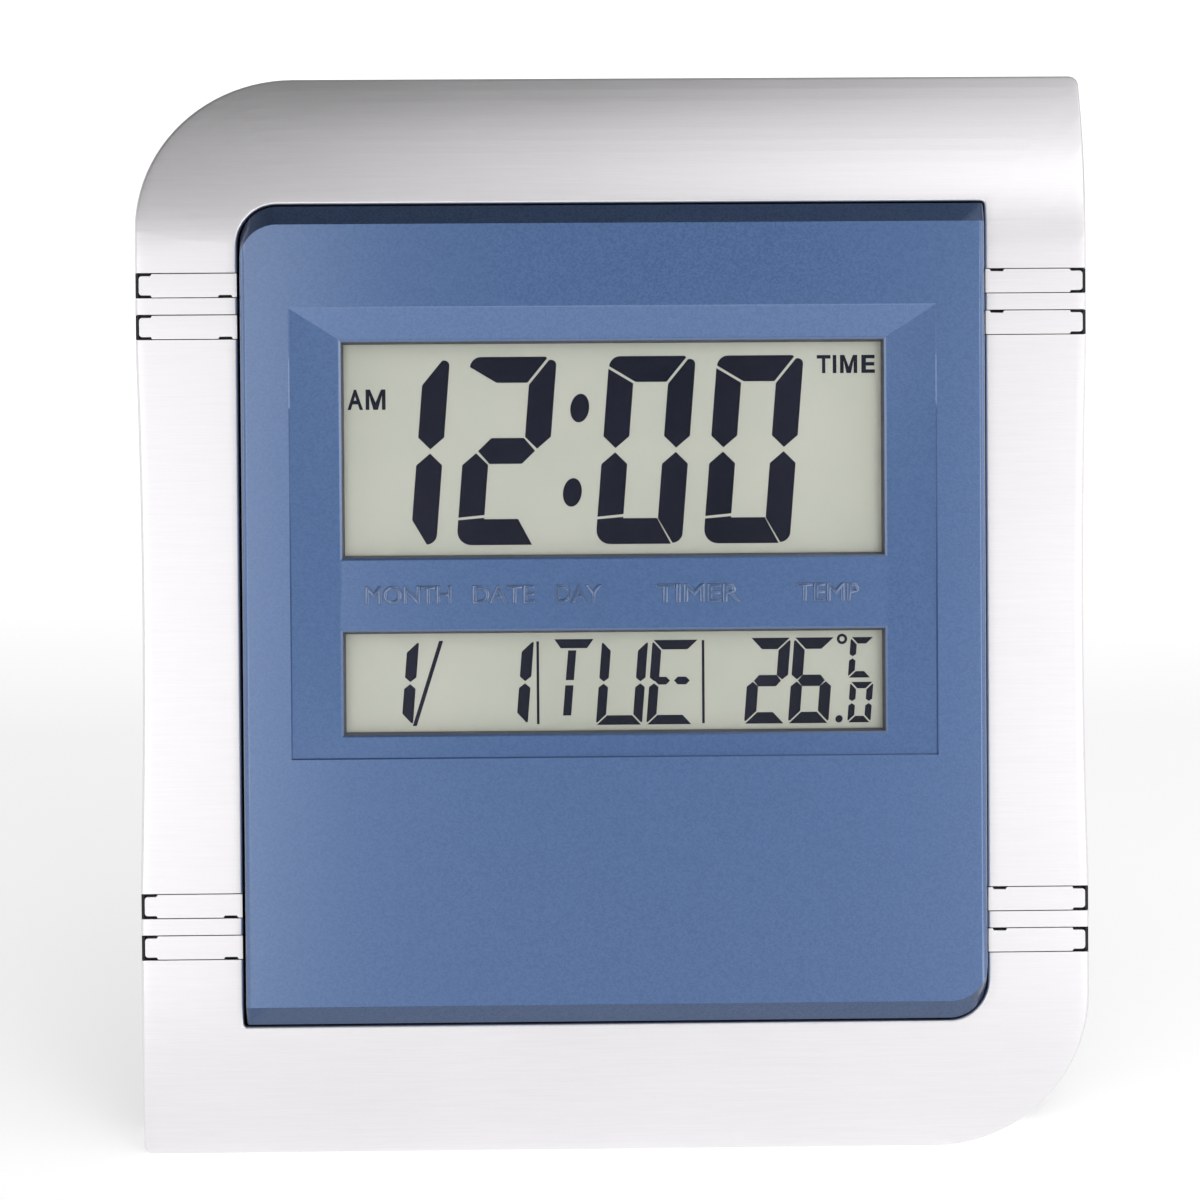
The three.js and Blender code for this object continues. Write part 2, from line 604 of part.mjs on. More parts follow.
// A contact plate at one end of the bay, with a solder tab through the wall above each end that needs one.
function contactPlate([left, right], atTop, tabs) {
  const low = atTop ? BAY.top - FIT_GAP - CONTACT.thickness : BAY.bottom + FIT_GAP;
  const half = CONTACT.thickness / 2;
  const depth = [AA_Y - CONTACT.half, AA_Y + CONTACT.half];
  const sheet = box([left, right], depth, [low, low + CONTACT.thickness]);
  return joined(sheet, ...tabs.map((x) => box([x - CONTACT.tabHalf, x + CONTACT.tabHalf],
    [AA_Y - half, AA_Y + half], [low, BAY.top + BAY.wall + CONTACT.tabRise])));
}

// A conical coil that presses on a cell's flat end.
class ConeHelix extends THREE.Curve {
  getPoint(t, target = new THREE.Vector3()) {
    const angle = t * SPRING.turns * 2 * Math.PI;
    const radius = SPRING.wide + (SPRING.narrow - SPRING.wide) * t;
    const rise = SPRING.wire + t * (SPRING.height - 2 * SPRING.wire);
    return target.set(radius * Math.cos(angle), radius * Math.sin(angle), rise);
  }
}

function roundSection(radius, sides) {
  const turn = (2 * Math.PI) / sides;
  return outlineOf(Array.from({ length: sides }, (_, i) =>
    [radius * Math.cos(i * turn), radius * Math.sin(i * turn)]));
}

function batterySpring(x, atTop) {
  const geometry = new THREE.ExtrudeGeometry(roundSection(SPRING.wire, 5), {
    steps: SPRING.turns * 8,
    extrudePath: new ConeHelix(),
  });
  if (atTop) geometry.rotateX(Math.PI);
  geometry.translate(x, AA_Y, atTop ? BAY.top - CONTACT_REACH : BAY.bottom + CONTACT_REACH);
  return solidOf(geometry);
}

// An insulated lead from a contact's tab up to the circuit board.
function batteryLead(x, boardX) {
  const start = BAY.top + BAY.wall + CONTACT.tabRise + FIT_GAP;
  const end = MIDDLE + BOARD.bottom + 8.5;
  const route = new THREE.CatmullRomCurve3([
    new THREE.Vector3(x, AA_Y, start),
    new THREE.Vector3(x, AA_Y, start + 3),
    new THREE.Vector3((x + boardX) / 2, AA_Y - 2.5, start + 8),
    new THREE.Vector3(boardX, ON_BOARD + 4, end),
    new THREE.Vector3(boardX, ON_BOARD, end),
  ]);
  const section = roundSection(LEAD_RADIUS, 8);
  return solidOf(new THREE.ExtrudeGeometry(section, { steps: 10, extrudePath: route }));
}

// A round-headed screw with a hollow for the driver, from its point to its seat.
function screw(place, { point, seat, head, shank, sides }) {
  const rise = head * 0.75;
  const profile = [[0, point], [shank * 0.6, point], [shank, point + shank], [shank, seat], [head, seat],
    [head, seat + rise / 2], [head * 0.7, seat + rise], [head * 0.3, seat + rise], [0, seat + rise / 2]];
  return turned(profile, place, sides);
}

function caseScrew(place) {
  const { head, shank, seat } = CASE_SCREW;
  return screw(place, { point: CHASSIS.back + 1.5, seat: seat + FIT_GAP, head, shank, sides: 10 });
}

function boardScrew(place) {
  return screw(place, { point: 1, seat: ON_BOARD, head: 2.4, shank: 1.05, sides: 8 });
}

// The leg, drawn hanging from its hinge at the origin: a knuckle, a tapered plate with two ribs, and a heel
// that meets the cover's back when the leg is open.
function standLeg() {
  const half = LEG.thickness / 2;
  const end = FOOT.height - LEG.length;
  const { topHalf, bottomHalf, cutCorner } = LEG;
  const outline = outlineOf([[-bottomHalf, end + cutCorner], [cutCorner - bottomHalf, end],
    [bottomHalf - cutCorner, end], [bottomHalf, end + cutCorner], [topHalf, 0], [-topHalf, 0]]);
  const backAt = (z) => (FIT_GAP + COVER.back - HINGE.y + z * Math.sin(LEG_OPEN)) / Math.cos(LEG_OPEN);
  const heel = outlineOf([[-half, 0], [half, 0], [HEEL.back, HEEL.high], [backAt(HEEL.high), HEEL.high],
    [backAt(HEEL.low), HEEL.low]]);
  const knuckle = crossRod(LEG.knuckle, [-topHalf, topHalf], [0, 0]);
  const bore = crossRod(PIN_RADIUS + FIT_GAP, [-topHalf - 1, topHalf + 1], [0, 0]);
  const ribs = [-1, 1].map((side) =>
    box(mirrored(side, [14, 16]), [half - 0.5, half + 1.8], [end + 12, -LEG.knuckle - 6]));
  const heelBar = across(heel, [HEEL.inset - topHalf, topHalf - HEEL.inset]);
  return joined(plate(outline, [-half, half]), heelBar, knuckle, ...ribs).subtract(bore);
}

// Rubber pad under the leg's end, its sole cut to lie flat on the table when the leg is open.
function footPad() {
  const sole = (y) => -LEG.length - y * Math.tan(LEG_SPLAY);
  const top = FOOT.height - LEG.length - FIT_GAP;
  const outline = outlineOf([[-FOOT.halfDepth, top], [-FOOT.halfDepth, sole(-FOOT.halfDepth)],
    [FOOT.halfDepth, sole(FOOT.halfDepth)], [FOOT.halfDepth, top]]);
  return across(outline, [-FOOT.halfWidth, FOOT.halfWidth]);
}

// Finishes
function finish(color, roughness, metalness) {
  return new THREE.MeshStandardMaterial({ color, roughness, metalness });
}

const FINISHES = {
  silver: () => finish(0xd8d8da, 0.35, 1),
  bluePaint: () => finish(0x566f9e, 0.4, 0.4),
  darkPlastic: () => finish(0x26272b, 0.6, 0),
  coverPlastic: () => finish(0x3a3c42, 0.55, 0),
  whitePlastic: () => finish(0xe4e3de, 0.55, 0),
  clear: () => finish(0xf2f5f3, 0.05, 0),
  crystal: () => finish(0xb9bdae, 0.3, 0),
  board: () => finish(0x2f6b43, 0.5, 0),
  resin: () => finish(0x17171a, 0.35, 0),
  tinned: () => finish(0xc3c5c8, 0.3, 1),
  steel: () => finish(0x9a9da2, 0.35, 1),
  cellWrap: () => finish(0x3e5d49, 0.4, 0),
  rubber: () => finish(0x1d1d1f, 0.85, 0),
  redWire: () => finish(0xa3262b, 0.5, 0),
  blackWire: () => finish(0x1c1c1e, 0.5, 0),
};

function add(group, name, solid, finishName) {
  const mesh = new THREE.Mesh(geometryOf(solid), FINISHES[finishName]());
  mesh.name = name;
  group.add(mesh);
}

// Assembly
const clock = new THREE.Group();
clock.rotation.x = -LEAN;

add(clock, "silver_frame", silverFrame(), "silver");
for (const bar of barPlaces()) add(clock, bar.name, trimBar(bar), "silver");
add(clock, "front_chassis", frontChassis(), "darkPlastic");
add(clock, "blue_panel", bluePanel(), "bluePaint");
for (const name of Object.keys(WINDOWS)) {
  add(clock, `${name}_window_lens`, windowLens(name), "clear");
  add(clock, `${name}_lcd`, crystalCell(name), "crystal");
  add(clock, `${name}_zebra_strip`, zebraStrip(name), "rubber");
}
add(clock, "lcd_holder", lcdHolder(), "whitePlastic");

add(clock, "circuit_board", circuitBoard(), "board");
add(clock, "controller_chip", controllerChip(), "resin");
add(clock, "quartz_crystal", quartzCrystal(), "tinned");
add(clock, "buzzer", buzzer(), "darkPlastic");
add(clock, "temperature_sensor", temperatureSensor(), "resin");
boardPosts().forEach((place, i) => add(clock, `board_screw_${i + 1}`, boardScrew(place), "steel"));
buttonPlaces().forEach((place, i) => {
  add(clock, `key_switch_${i + 1}`, keySwitch(place), "tinned");
  add(clock, `set_button_${i + 1}`, setButton(place), "darkPlastic");
});

add(clock, "rear_cover", rearCover(), "coverPlastic");
caseScrewPlaces().forEach((place, i) => add(clock, `case_screw_${i + 1}`, caseScrew(place), "steel"));
add(clock, "battery_door", batteryDoor(), "coverPlastic");

const [firstX, secondX] = AA_XS;
const half = CONTACT.half;
add(clock, "battery_cell_1", batteryCell(firstX, true), "cellWrap");
add(clock, "battery_cell_2", batteryCell(secondX, false), "cellWrap");
add(clock, "battery_plus_plate", contactPlate([firstX - half, firstX + half], true, [firstX]), "tinned");
add(clock, "battery_minus_plate", contactPlate([secondX - half, secondX + half], true, [secondX]), "tinned");
add(clock, "battery_bridge_plate", contactPlate([firstX - half, secondX + half], false, []), "tinned");
add(clock, "battery_bridge_spring", batterySpring(firstX, false), "steel");
add(clock, "battery_minus_spring", batterySpring(secondX, true), "steel");
add(clock, "battery_lead_red", batteryLead(firstX, firstX - 9), "redWire");
add(clock, "battery_lead_black", batteryLead(secondX, secondX - 3), "blackWire");

add(clock, "stand_ear_left", hingeEar(-1), "coverPlastic");
add(clock, "stand_ear_right", hingeEar(1), "coverPlastic");
const pinHalf = EAR.outer - EAR.cap - FIT_GAP;
add(clock, "stand_hinge_pin", crossRod(PIN_RADIUS, [-pinHalf, pinHalf], [HINGE.y, HINGE.z]), "steel");
const stand = new THREE.Group();
stand.position.set(0, HINGE.y, HINGE.z);
stand.rotation.x = LEG_OPEN;
add(stand, "stand_leg", standLeg(), "coverPlastic");
add(stand, "stand_foot_pad", footPad(), "rubber");
clock.add(stand);

// The origin is on the table, under the middle of the standing clock.
const deskClock = new THREE.Group();
deskClock.add(clock);
deskClock.updateMatrixWorld(true);
const bounds = new THREE.Box3().setFromObject(clock, true);
clock.position.set(0, -(bounds.min.y + bounds.max.y) / 2, -bounds.min.z);

export default deskClock;
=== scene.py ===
import math

import bmesh
import bpy
from mathutils import Matrix, Vector


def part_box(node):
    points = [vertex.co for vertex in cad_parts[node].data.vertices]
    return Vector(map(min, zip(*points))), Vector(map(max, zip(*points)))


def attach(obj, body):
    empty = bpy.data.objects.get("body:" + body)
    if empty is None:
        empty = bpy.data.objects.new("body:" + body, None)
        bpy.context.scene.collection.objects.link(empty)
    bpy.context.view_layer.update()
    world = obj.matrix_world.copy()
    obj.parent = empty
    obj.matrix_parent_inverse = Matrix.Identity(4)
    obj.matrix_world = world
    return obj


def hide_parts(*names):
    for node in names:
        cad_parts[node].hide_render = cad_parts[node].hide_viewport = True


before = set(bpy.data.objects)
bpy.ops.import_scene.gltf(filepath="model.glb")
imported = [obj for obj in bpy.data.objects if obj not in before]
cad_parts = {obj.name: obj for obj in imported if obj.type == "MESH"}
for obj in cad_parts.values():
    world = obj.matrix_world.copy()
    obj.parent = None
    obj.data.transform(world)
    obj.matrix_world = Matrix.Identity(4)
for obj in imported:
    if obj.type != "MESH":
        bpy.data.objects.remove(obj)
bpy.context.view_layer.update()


# How the clock stands.
# Every new piece is modelled upright and in millimetres: x to the right, y from the face to the back, z up
# along the face, from the frame's flat front and bottom edge. STANDING then leans it back on its leg, in
# metres, round the hinge pin whose place the frame gives.
MM = 0.001
WIDTH = 220
HEIGHT = 250
MIDDLE = HEIGHT / 2
LEAN = math.radians(16)
HINGE = Vector((0, 34.2, 130))

pin_low, pin_high = (Vector(corner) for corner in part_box("stand_hinge_pin"))
leaning = Matrix.Rotation(-LEAN, 4, "X") @ Matrix.Scale(MM, 4)
STANDING = Matrix.Translation((pin_low + pin_high) / 2 - leaning @ HINGE) @ leaning


# Silver frame.
# A shell pressed from aluminium sheet, brushed from side to side so finely that it looks satin. Two corners
# are round and two tight. The top band curves well back, the bottom band a little, down to a flat base.
ROUND_CORNER = 36
TIGHT_CORNER = 2
ROUND_STEPS = 24
TIGHT_STEPS = 3
SIDE_CUTS = 29
RAIL_CUTS = 9
LONG_EDGE = 20
SHARP_FOLD = 1
NEAR = 0.01
OPENING_SIDE = 86.4
OPENING_REACH = 95
OPENING_CORNERS = (9.3, 0.7)
FRAME_WALL = 2
FRAME_BACK = 18
FRAME_EDGE_ROUND = 0.7
OPENING_LIP = 2.6
TOP_CURVE = {"radius": 65, "run": 41}
BOTTOM_CURVE = {"radius": 200, "run": 40}
TOP_ROWS = 16
BOTTOM_ROWS = 6
RAIL_WAIST = 1
WAIST_REACH = 61.95
BAR_OFFSETS = (66.9, 76.5)
SLOT_HALF = 2.925
SLOT_BACK = 5.7
MICRON = 0.000001
SHADE_RANGE = (0.3, 0.7)
STREAK_STRETCH = (0.025, 1, 1)


def only(*pieces):
    """Selects these pieces and nothing else, in object mode, with the first one active."""
    if bpy.context.mode != "OBJECT":
        bpy.ops.object.mode_set(mode="OBJECT")
    bpy.ops.object.select_all(action="DESELECT")
    for piece in pieces:
        piece.select_set(True)
    if pieces:
        bpy.context.view_layer.objects.active = pieces[0]


def start(name, add, scale=(1, 1, 1), **at):
    """Adds a primitive at its size and place, with nothing else selected."""
    only()
    add(**at)
    piece = bpy.context.object
    piece.name = piece.data.name = name
    piece.scale = scale
    bpy.ops.object.transform_apply(location=True, rotation=True, scale=True)
    return piece


def edit(piece):
    only(piece)
    bpy.ops.object.mode_set(mode="EDIT")


def pick(piece, kind, test):
    """Selects, in edit mode, just the verts, edges or faces that pass a test."""
    bpy.ops.mesh.select_mode(type={"verts": "VERT", "edges": "EDGE", "faces": "FACE"}[kind])
    bpy.ops.mesh.select_all(action="DESELECT")
    shape = bmesh.from_edit_mesh(piece.data)
    shape.normal_update()
    for element in getattr(shape, kind):
        if test(element):
            element.select_set(True)
    bmesh.update_edit_mesh(piece.data)


def select_all():
    bpy.ops.mesh.select_all(action="SELECT")


def extrude(y=0.0, z=0.0):
    bpy.ops.mesh.extrude_region_move(TRANSFORM_OT_translate={"value": (0, y, z)})


def shift(x=0.0, y=0.0, z=0.0):
    bpy.ops.transform.translate(value=(x, y, z))


def bevel(piece, kind, test, offset, segments):
    """Bevels, in edit mode, the verts or edges that pass a test."""
    pick(piece, kind, test)
    bpy.ops.mesh.bevel(offset=offset, segments=segments, affect="EDGES" if kind == "edges" else "VERTICES")


def is_sharp(edge):
    return edge.calc_face_angle(0) > SHARP_FOLD


def middle_of(edge):
    return (edge.verts[0].co + edge.verts[1].co) / 2


def slice_at(piece, axis, values, test=lambda f: True):
    """Cuts the faces that pass a test along each plane where x, y or z has one of these values."""
    square = Vector([float(axis == name) for name in "xyz"])
    for value in values:
        pick(piece, "faces", test)
        bpy.ops.mesh.bisect(plane_co=square * value, plane_no=square)


def modify(piece, kind, **settings):
    """Puts a modifier on a piece and applies it."""
    only(piece)
    modifier = piece.modifiers.new(kind, kind)
    for setting, value in settings.items():
        setattr(modifier, setting, value)
    bpy.ops.object.modifier_apply(modifier=modifier.name)


def face_outwards(piece):
    edit(piece)
    select_all()
    bpy.ops.mesh.normals_make_consistent(inside=False)
    only(piece)


def fit(piece, body, finish, nodes, place=STANDING, smooth=35):
    """Leans a finished piece into place, gives it its shading, finish and body, and hides the CAD nodes it
    replaces.
    """
    only(piece)
    if place:
        piece.data.transform(place)
    bpy.ops.object.shade_smooth_by_angle(angle=math.radians(smooth))
    modify(piece, "WEIGHTED_NORMAL", keep_sharp=True)
    if not piece.data.materials:
        piece.data.materials.append(finish)
    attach(piece, body)
    if nodes:
        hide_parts(*nodes)


def face_sheet(name, side, bottom, top, corners, y=0.0):
    """A flat sheet on the face, with a round top left and bottom right corner and two tight ones. All sheets
    have rings of as many points, so that two of them bridge well."""
    sheet = start(name, bpy.ops.mesh.primitive_plane_add, size=1, location=(0, y, (bottom + top) / 2),
                  rotation=(math.pi / 2, 0, 0), scale=(2 * side, top - bottom, 1))
    edit(sheet)
    round_ones = ((-side, top), (side, bottom))
    tight_ones = ((-side, bottom), (side, top))
    for radius, steps, places in zip(corners, (ROUND_STEPS, TIGHT_STEPS), (round_ones, tight_ones)):
        bevel(sheet, "verts", lambda v: any(math.dist((v.co.x, v.co.z), place) < NEAR for place in places),
              radius, segments=steps)
    pick(sheet, "edges", lambda e: e.calc_length() > LONG_EDGE)
    bpy.ops.mesh.subdivide(number_cuts=SIDE_CUTS)
    only(sheet)
    return sheet


def in_slot(place):
    return any(abs(abs(place.z - MIDDLE) - offset) < SLOT_HALF for offset in BAR_OFFSETS)


def in_opening(v):
    return abs(v.co.x) < OPENING_SIDE + NEAR and abs(v.co.z - MIDDLE) < OPENING_REACH + NEAR


def table_at(y):
    """Height of the table under a point of the upright clock, at its depth."""
    return (y - setback(0)) * math.tan(LEAN)


def setback(z):
    """How far the frame's front lies behind its flat rails at a height."""
    for curve, from_edge in ((TOP_CURVE, HEIGHT - z), (BOTTOM_CURVE, z)):
        run_in = curve["run"] - from_edge
        if run_in > 0:
            return curve["radius"] - math.sqrt(curve["radius"] ** 2 - run_in ** 2)
    return 0.0


silver_frame = face_sheet("silver_frame_shell", WIDTH / 2, 0, HEIGHT, (ROUND_CORNER, TIGHT_CORNER))
opening = face_sheet("frame_opening", OPENING_SIDE, MIDDLE - OPENING_REACH, MIDDLE + OPENING_REACH,
                     OPENING_CORNERS)
only(silver_frame, opening)
bpy.ops.object.join()
edit(silver_frame)
select_all()
bpy.ops.mesh.delete(type="ONLY_FACE")
bpy.ops.mesh.select_mode(type="EDGE")
select_all()
bpy.ops.mesh.bridge_edge_loops(number_cuts=RAIL_CUTS, interpolation="LINEAR")
pick(silver_frame, "edges", lambda e: e.is_boundary and not all(in_opening(v) for v in e.verts))
extrude(y=FRAME_BACK)
pick(silver_frame, "edges", lambda e: e.is_boundary and all(in_opening(v) for v in e.verts))
extrude(y=OPENING_LIP)
face_outwards(silver_frame)
edit(silver_frame)
bevel(silver_frame, "edges", is_sharp, FRAME_EDGE_ROUND, segments=3)
slot_edges = [MIDDLE + level * offset + edge_side * SLOT_HALF
              for level in (1, -1) for offset in BAR_OFFSETS for edge_side in (1, -1)]
top_rows = [HEIGHT - TOP_CURVE["run"] * row / TOP_ROWS for row in range(1, TOP_ROWS + 1)]
bottom_rows = [BOTTOM_CURVE["run"] * row / BOTTOM_ROWS for row in range(1, BOTTOM_ROWS + 1)]
slice_at(silver_frame, "z", slot_edges + top_rows + bottom_rows)
slice_at(silver_frame, "y", [SLOT_BACK], lambda f: in_slot(f.calc_center_median()))
pick(silver_frame, "faces",
     lambda f: in_slot(f.calc_center_median()) and f.calc_center_median().y < SLOT_BACK)
bpy.ops.mesh.delete(type="FACE")
only(silver_frame)
for vertex in silver_frame.data.vertices:
    x, y, z = vertex.co
    outward = max(0, (abs(x) - OPENING_SIDE) / (WIDTH / 2 - OPENING_SIDE))
    pinch = max(0, 1 - ((z - MIDDLE) / WAIST_REACH) ** 2) * RAIL_WAIST * outward
    vertex.co.x = x - math.copysign(pinch, x)
    vertex.co.y = y + setback(z) * (1 - y / FRAME_BACK)
    vertex.co.z = max(z, table_at(vertex.co.y))
modify(silver_frame, "SOLIDIFY", thickness=FRAME_WALL, offset=-1, use_even_offset=True)


def srgb(red, green, blue):
    """A colour as it looks on screen, from 0 to 255, as the linear colour that a shader takes."""
    return tuple(((c / 255 + 0.055) / 1.055) ** 2.4 for c in (red, green, blue)) + (1,)


def give(tree, socket, value):
    """Gives a socket a plain value or another node's result."""
    if isinstance(value, bpy.types.NodeSocket):
        tree.links.new(value, socket)
    else:
        socket.default_value = value


def feed(tree, node, **inputs):
    """Gives inputs of a node their values, by their names."""
    for name, value in inputs.items():
        give(tree, node.inputs[name.replace("_", " ").title().replace("Ior", "IOR")], value)


def new_node(tree, kind, **inputs):
    node = tree.nodes.new(f"ShaderNode{kind}")
    feed(tree, node, **inputs)
    return node


def pattern(name, weave):
    """A node group with a Fineness, in features per metre, and a Shade and a Height that change over the
    surface, which the function weave gives."""
    group = bpy.data.node_groups.new(name, "ShaderNodeTree")
    group.interface.new_socket("Fineness", in_out="INPUT", socket_type="NodeSocketFloat")
    for result in ("Shade", "Height"):
        group.interface.new_socket(result, in_out="OUTPUT", socket_type="NodeSocketFloat")
    fineness = group.nodes.new("NodeGroupInput").outputs["Fineness"]
    place = new_node(group, "TexCoord").outputs["Object"]
    shade, height = weave(group, place, fineness)
    feed(group, group.nodes.new("NodeGroupOutput"), shade=shade, height=height)
    return group


def noise(group, place, fineness, detail, roughness=0.6):
    return new_node(group, "TexNoise", vector=place, scale=fineness, detail=detail,
                    roughness=roughness).outputs["Fac"]


def reckon(tree, operation, *values, kind="Math"):
    """What a Math or VectorMath node makes of some values."""
    node = new_node(tree, kind)
    node.operation = operation
    for socket, value in zip(node.inputs, values):
        give(tree, socket, value)
    return node.outputs[0]


def blend(group, first, second, share):
    """The sum of two results, with this share of the second."""
    return reckon(group, "ADD", reckon(group, "MULTIPLY", first, 1 - share),
                  reckon(group, "MULTIPLY", second, share))


def ranged(tree, value, *limits):
    """A result brought from one range to another."""
    names = ("from_min", "from_max", "to_min", "to_max")
    return new_node(tree, "MapRange", value=value, **dict(zip(names, limits))).outputs["Result"]


def brushed_streaks(group, place, fineness):
    """Long fine streaks from side to side, over a slow unevenness."""
    stretched = reckon(group, "MULTIPLY", place, STREAK_STRETCH, kind="VectorMath")
    streaks = noise(group, stretched, fineness, detail=5, roughness=0.75)
    return blend(group, streaks, noise(group, place, fineness=22, detail=2), share=0.25), streaks


def finish_with(name, grain, fineness, colors, roughness, relief, **sockets):
    """A finish whose screen colour, gloss and fine relief, in micrometres, follow a pattern."""
    finish = bpy.data.materials.new(name)
    finish.use_nodes = True
    tree = finish.node_tree
    surface = new_node(tree, "Group")
    surface.node_tree = grain
    feed(tree, surface, fineness=fineness)
    tint = new_node(tree, "ValToRGB", fac=surface.outputs["Shade"])
    for stop, position, color in zip(tint.color_ramp.elements, SHADE_RANGE, colors):
        stop.position = position
        stop.color = srgb(*color)
    gloss = ranged(tree, surface.outputs["Shade"], *SHADE_RANGE, *roughness)
    bump = new_node(tree, "Bump", distance=relief * MICRON, height=surface.outputs["Height"])
    feed(tree, tree.nodes["Principled BSDF"], base_color=tint.outputs["Color"], roughness=gloss,
         normal=bump.outputs["Normal"], **sockets)
    return finish


STREAKS = pattern("brushed_streaks", brushed_streaks)
brushed_silver = finish_with("brushed_silver", STREAKS, 2400, ((231, 229, 231), (239, 237, 239)),
                             (0.37, 0.42), 3, metallic=1.0)
fit(silver_frame, "clock_body", brushed_silver, ["silver_frame"])


# Trim bars.
# Eight aluminium bars pressed into slots across the side rails. A hairline seam runs round each, opened into
# a short dark nick at the outer end and, on one edge, beside the panel.
BAR_INNER = OPENING_SIDE + 0.1
BAR_OUTER = WIDTH / 2 - 0.9
BAR_THICKNESS = 2
BAR_SEAM = 0.18
BAR_NICK = 0.5
NICK_RAMP = 0.3
BAR_CORNER = 0.7
BAR_EDGE_ROUND = 0.12
BAR_HALF = SLOT_HALF - BAR_SEAM
OUTER_NICK = (106.4, BAR_OUTER)
INNER_NICK = (87.5, 90.9)
INNER_FLOOR = (INNER_NICK[0] + NICK_RAMP, INNER_NICK[1] - NICK_RAMP)


def block(name, *limits):
    """A plain block between its limits in x, y and z."""
    return start(name, bpy.ops.mesh.primitive_cube_add, size=1, location=[sum(pair) / 2 for pair in limits],
                 scale=[high - low for low, high in limits])


trim_bar = block("trim_bar", (BAR_INNER, BAR_OUTER), (0, BAR_THICKNESS), (-BAR_HALF, BAR_HALF))
edit(trim_bar)
slice_at(trim_bar, "x", (OUTER_NICK[0] - NICK_RAMP, OUTER_NICK[0]))
slice_at(trim_bar, "x", (INNER_NICK[0], *INNER_FLOOR, INNER_NICK[1]))
for (left, right), edge_side in ((OUTER_NICK, 1), (OUTER_NICK, -1), (INNER_FLOOR, 1)):
    pick(trim_bar, "verts", lambda v: left - NEAR < v.co.x < right + NEAR and edge_side * v.co.z > 0)
    shift(z=-edge_side * BAR_NICK)
bevel(trim_bar, "edges", lambda e: middle_of(e).x > BAR_OUTER - NEAR and abs(middle_of(e).z) > BAR_HALF / 2
      and abs(middle_of(e).y - BAR_THICKNESS / 2) < NEAR, BAR_CORNER, segments=4)
bevel(trim_bar, "edges", lambda e: is_sharp(e) and all(v.co.y < NEAR for v in e.verts), BAR_EDGE_ROUND,
      segments=2)
only(trim_bar)


def copy_of(piece, name, place):
    """A copy with its own mesh, moved to its place."""
    twin = piece.copy()
    twin.data = piece.data.copy()
    twin.name = twin.data.name = name
    twin.data.transform(place)
    bpy.context.scene.collection.objects.link(twin)
    return twin


for side_name, half_turn in (("right", 0), ("left", math.pi)):
    for level_name, level in (("upper", 1), ("lower", -1)):
        for number, offset in enumerate(BAR_OFFSETS, 1):
            node = f"trim_bar_{side_name}_{level_name}_{number}"
            place = Matrix.Translation((0, 0, MIDDLE + level * offset))
            bar = copy_of(trim_bar, f"{node}_brushed", place @ Matrix.Rotation(half_turn, 4, "Y"))
            fit(bar, "clock_body", brushed_silver, [node])
bpy.data.objects.remove(trim_bar)


# Front chassis.
# A dark moulded plate behind the frame, with a lug under each trim bar that shows as the dark line round it.
# That near-black is partly the plastic's own colour and partly painted shade in the nicks at the bars' ends.
# It stays as the frame has it, in matt moulded plastic.
def moulded_grain(group, place, fineness):
    """The fine spark-eroded grain of a mould, over faint flow marks."""
    pits = noise(group, place, fineness, detail=3)
    return blend(group, pits, noise(group, place, fineness=35, detail=2), share=0.5), pits


def refinish(nodes, finish):
    """Gives CAD nodes, which keep their shape, a finish."""
    for node in nodes:
        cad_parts[node].data.materials.clear()
        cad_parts[node].data.materials.append(finish)


GRAIN = pattern("moulded_grain", moulded_grain)
# Near-black plastic; on the chassis lugs it also stands in as painted shade in the trim bars' nicks.
dark_plastic = finish_with("dark_plastic", GRAIN, 1600, ((22, 23, 26), (31, 32, 36)), (0.55, 0.7), 20)
refinish(["front_chassis"], dark_plastic)


# Blue panel.
# A moulded tray in metallic blue paint, proud of the frame, with rounded sides and ends that slope back. Its
# surround slopes in at the head and sides and steps down at the foot, to a floor with two chamfered windows.
# The steep ends are given a darker paint, which is painted shade, and the windows' own walls a plain dark
# grey, which is painted shade in their wells.
PANEL_SIDE = 85.7
PANEL_FACE = 90.2
PANEL_BASE = 94.5
PANEL_FRONT = -4
PANEL_BACK = 9
PANEL_WALL = 1.2
PANEL_CORNERS = (8.6, 0.6)
SIDE_ROUND = 1.3
SIDE_STEPS = 4
END_EASE = 0.1
END_SLOPE = 0.2
PANEL_SIT = 0.25
SURROUND_SIDE = 74.7
RIM_SIDE = SURROUND_SIDE + 1
SURROUND_ENDS = (MIDDLE - 33, MIDDLE + 71.2)
STEP_FOOT = 1.0
STEP_HEAD = 0.1
STEP_DRAFT = 0.3
SLOPE_CUTS = 8
FLOOR_SIDE = 63.3
FLOOR_ENDS = (MIDDLE - 28.1, MIDDLE + 63.8)
FLOOR_FRONT = -2.8
WINDOW_SIDE = 62.75
WINDOWS = {"time": (MIDDLE + 13.25, MIDDLE + 63.25), "date": (MIDDLE - 27.55, MIDDLE - 3.55)}
WINDOW_BACK = 0
WINDOW_DRAFT = 0.65
MOUTH_CHAMFER = 0.42
SQUARE_ON = 0.99
SLIGHT_FOLD = 0.07

blue_panel = face_sheet("blue_panel_tray", PANEL_SIDE, MIDDLE - PANEL_FACE, MIDDLE + PANEL_FACE,
                        PANEL_CORNERS, y=PANEL_FRONT)
edit(blue_panel)
side_turns = [math.pi / 2 * step / SIDE_STEPS for step in range(SIDE_STEPS)]
side_cuts = [SURROUND_SIDE, *(PANEL_SIDE - SIDE_ROUND * (1 - math.sin(turn)) for turn in side_turns)]
slice_at(blue_panel, "x", side_cuts + [-cut for cut in side_cuts])
slice_at(blue_panel, "z", SURROUND_ENDS)


def at_surround(f):
    centre = f.calc_center_median()
    return abs(centre.x) < SURROUND_SIDE and SURROUND_ENDS[0] < centre.z < SURROUND_ENDS[1]


def faces_front(f):
    return f.normal.y < -SQUARE_ON


def on_floor(f):
    return faces_front(f) and abs(f.calc_center_median().y - FLOOR_FRONT) < NEAR


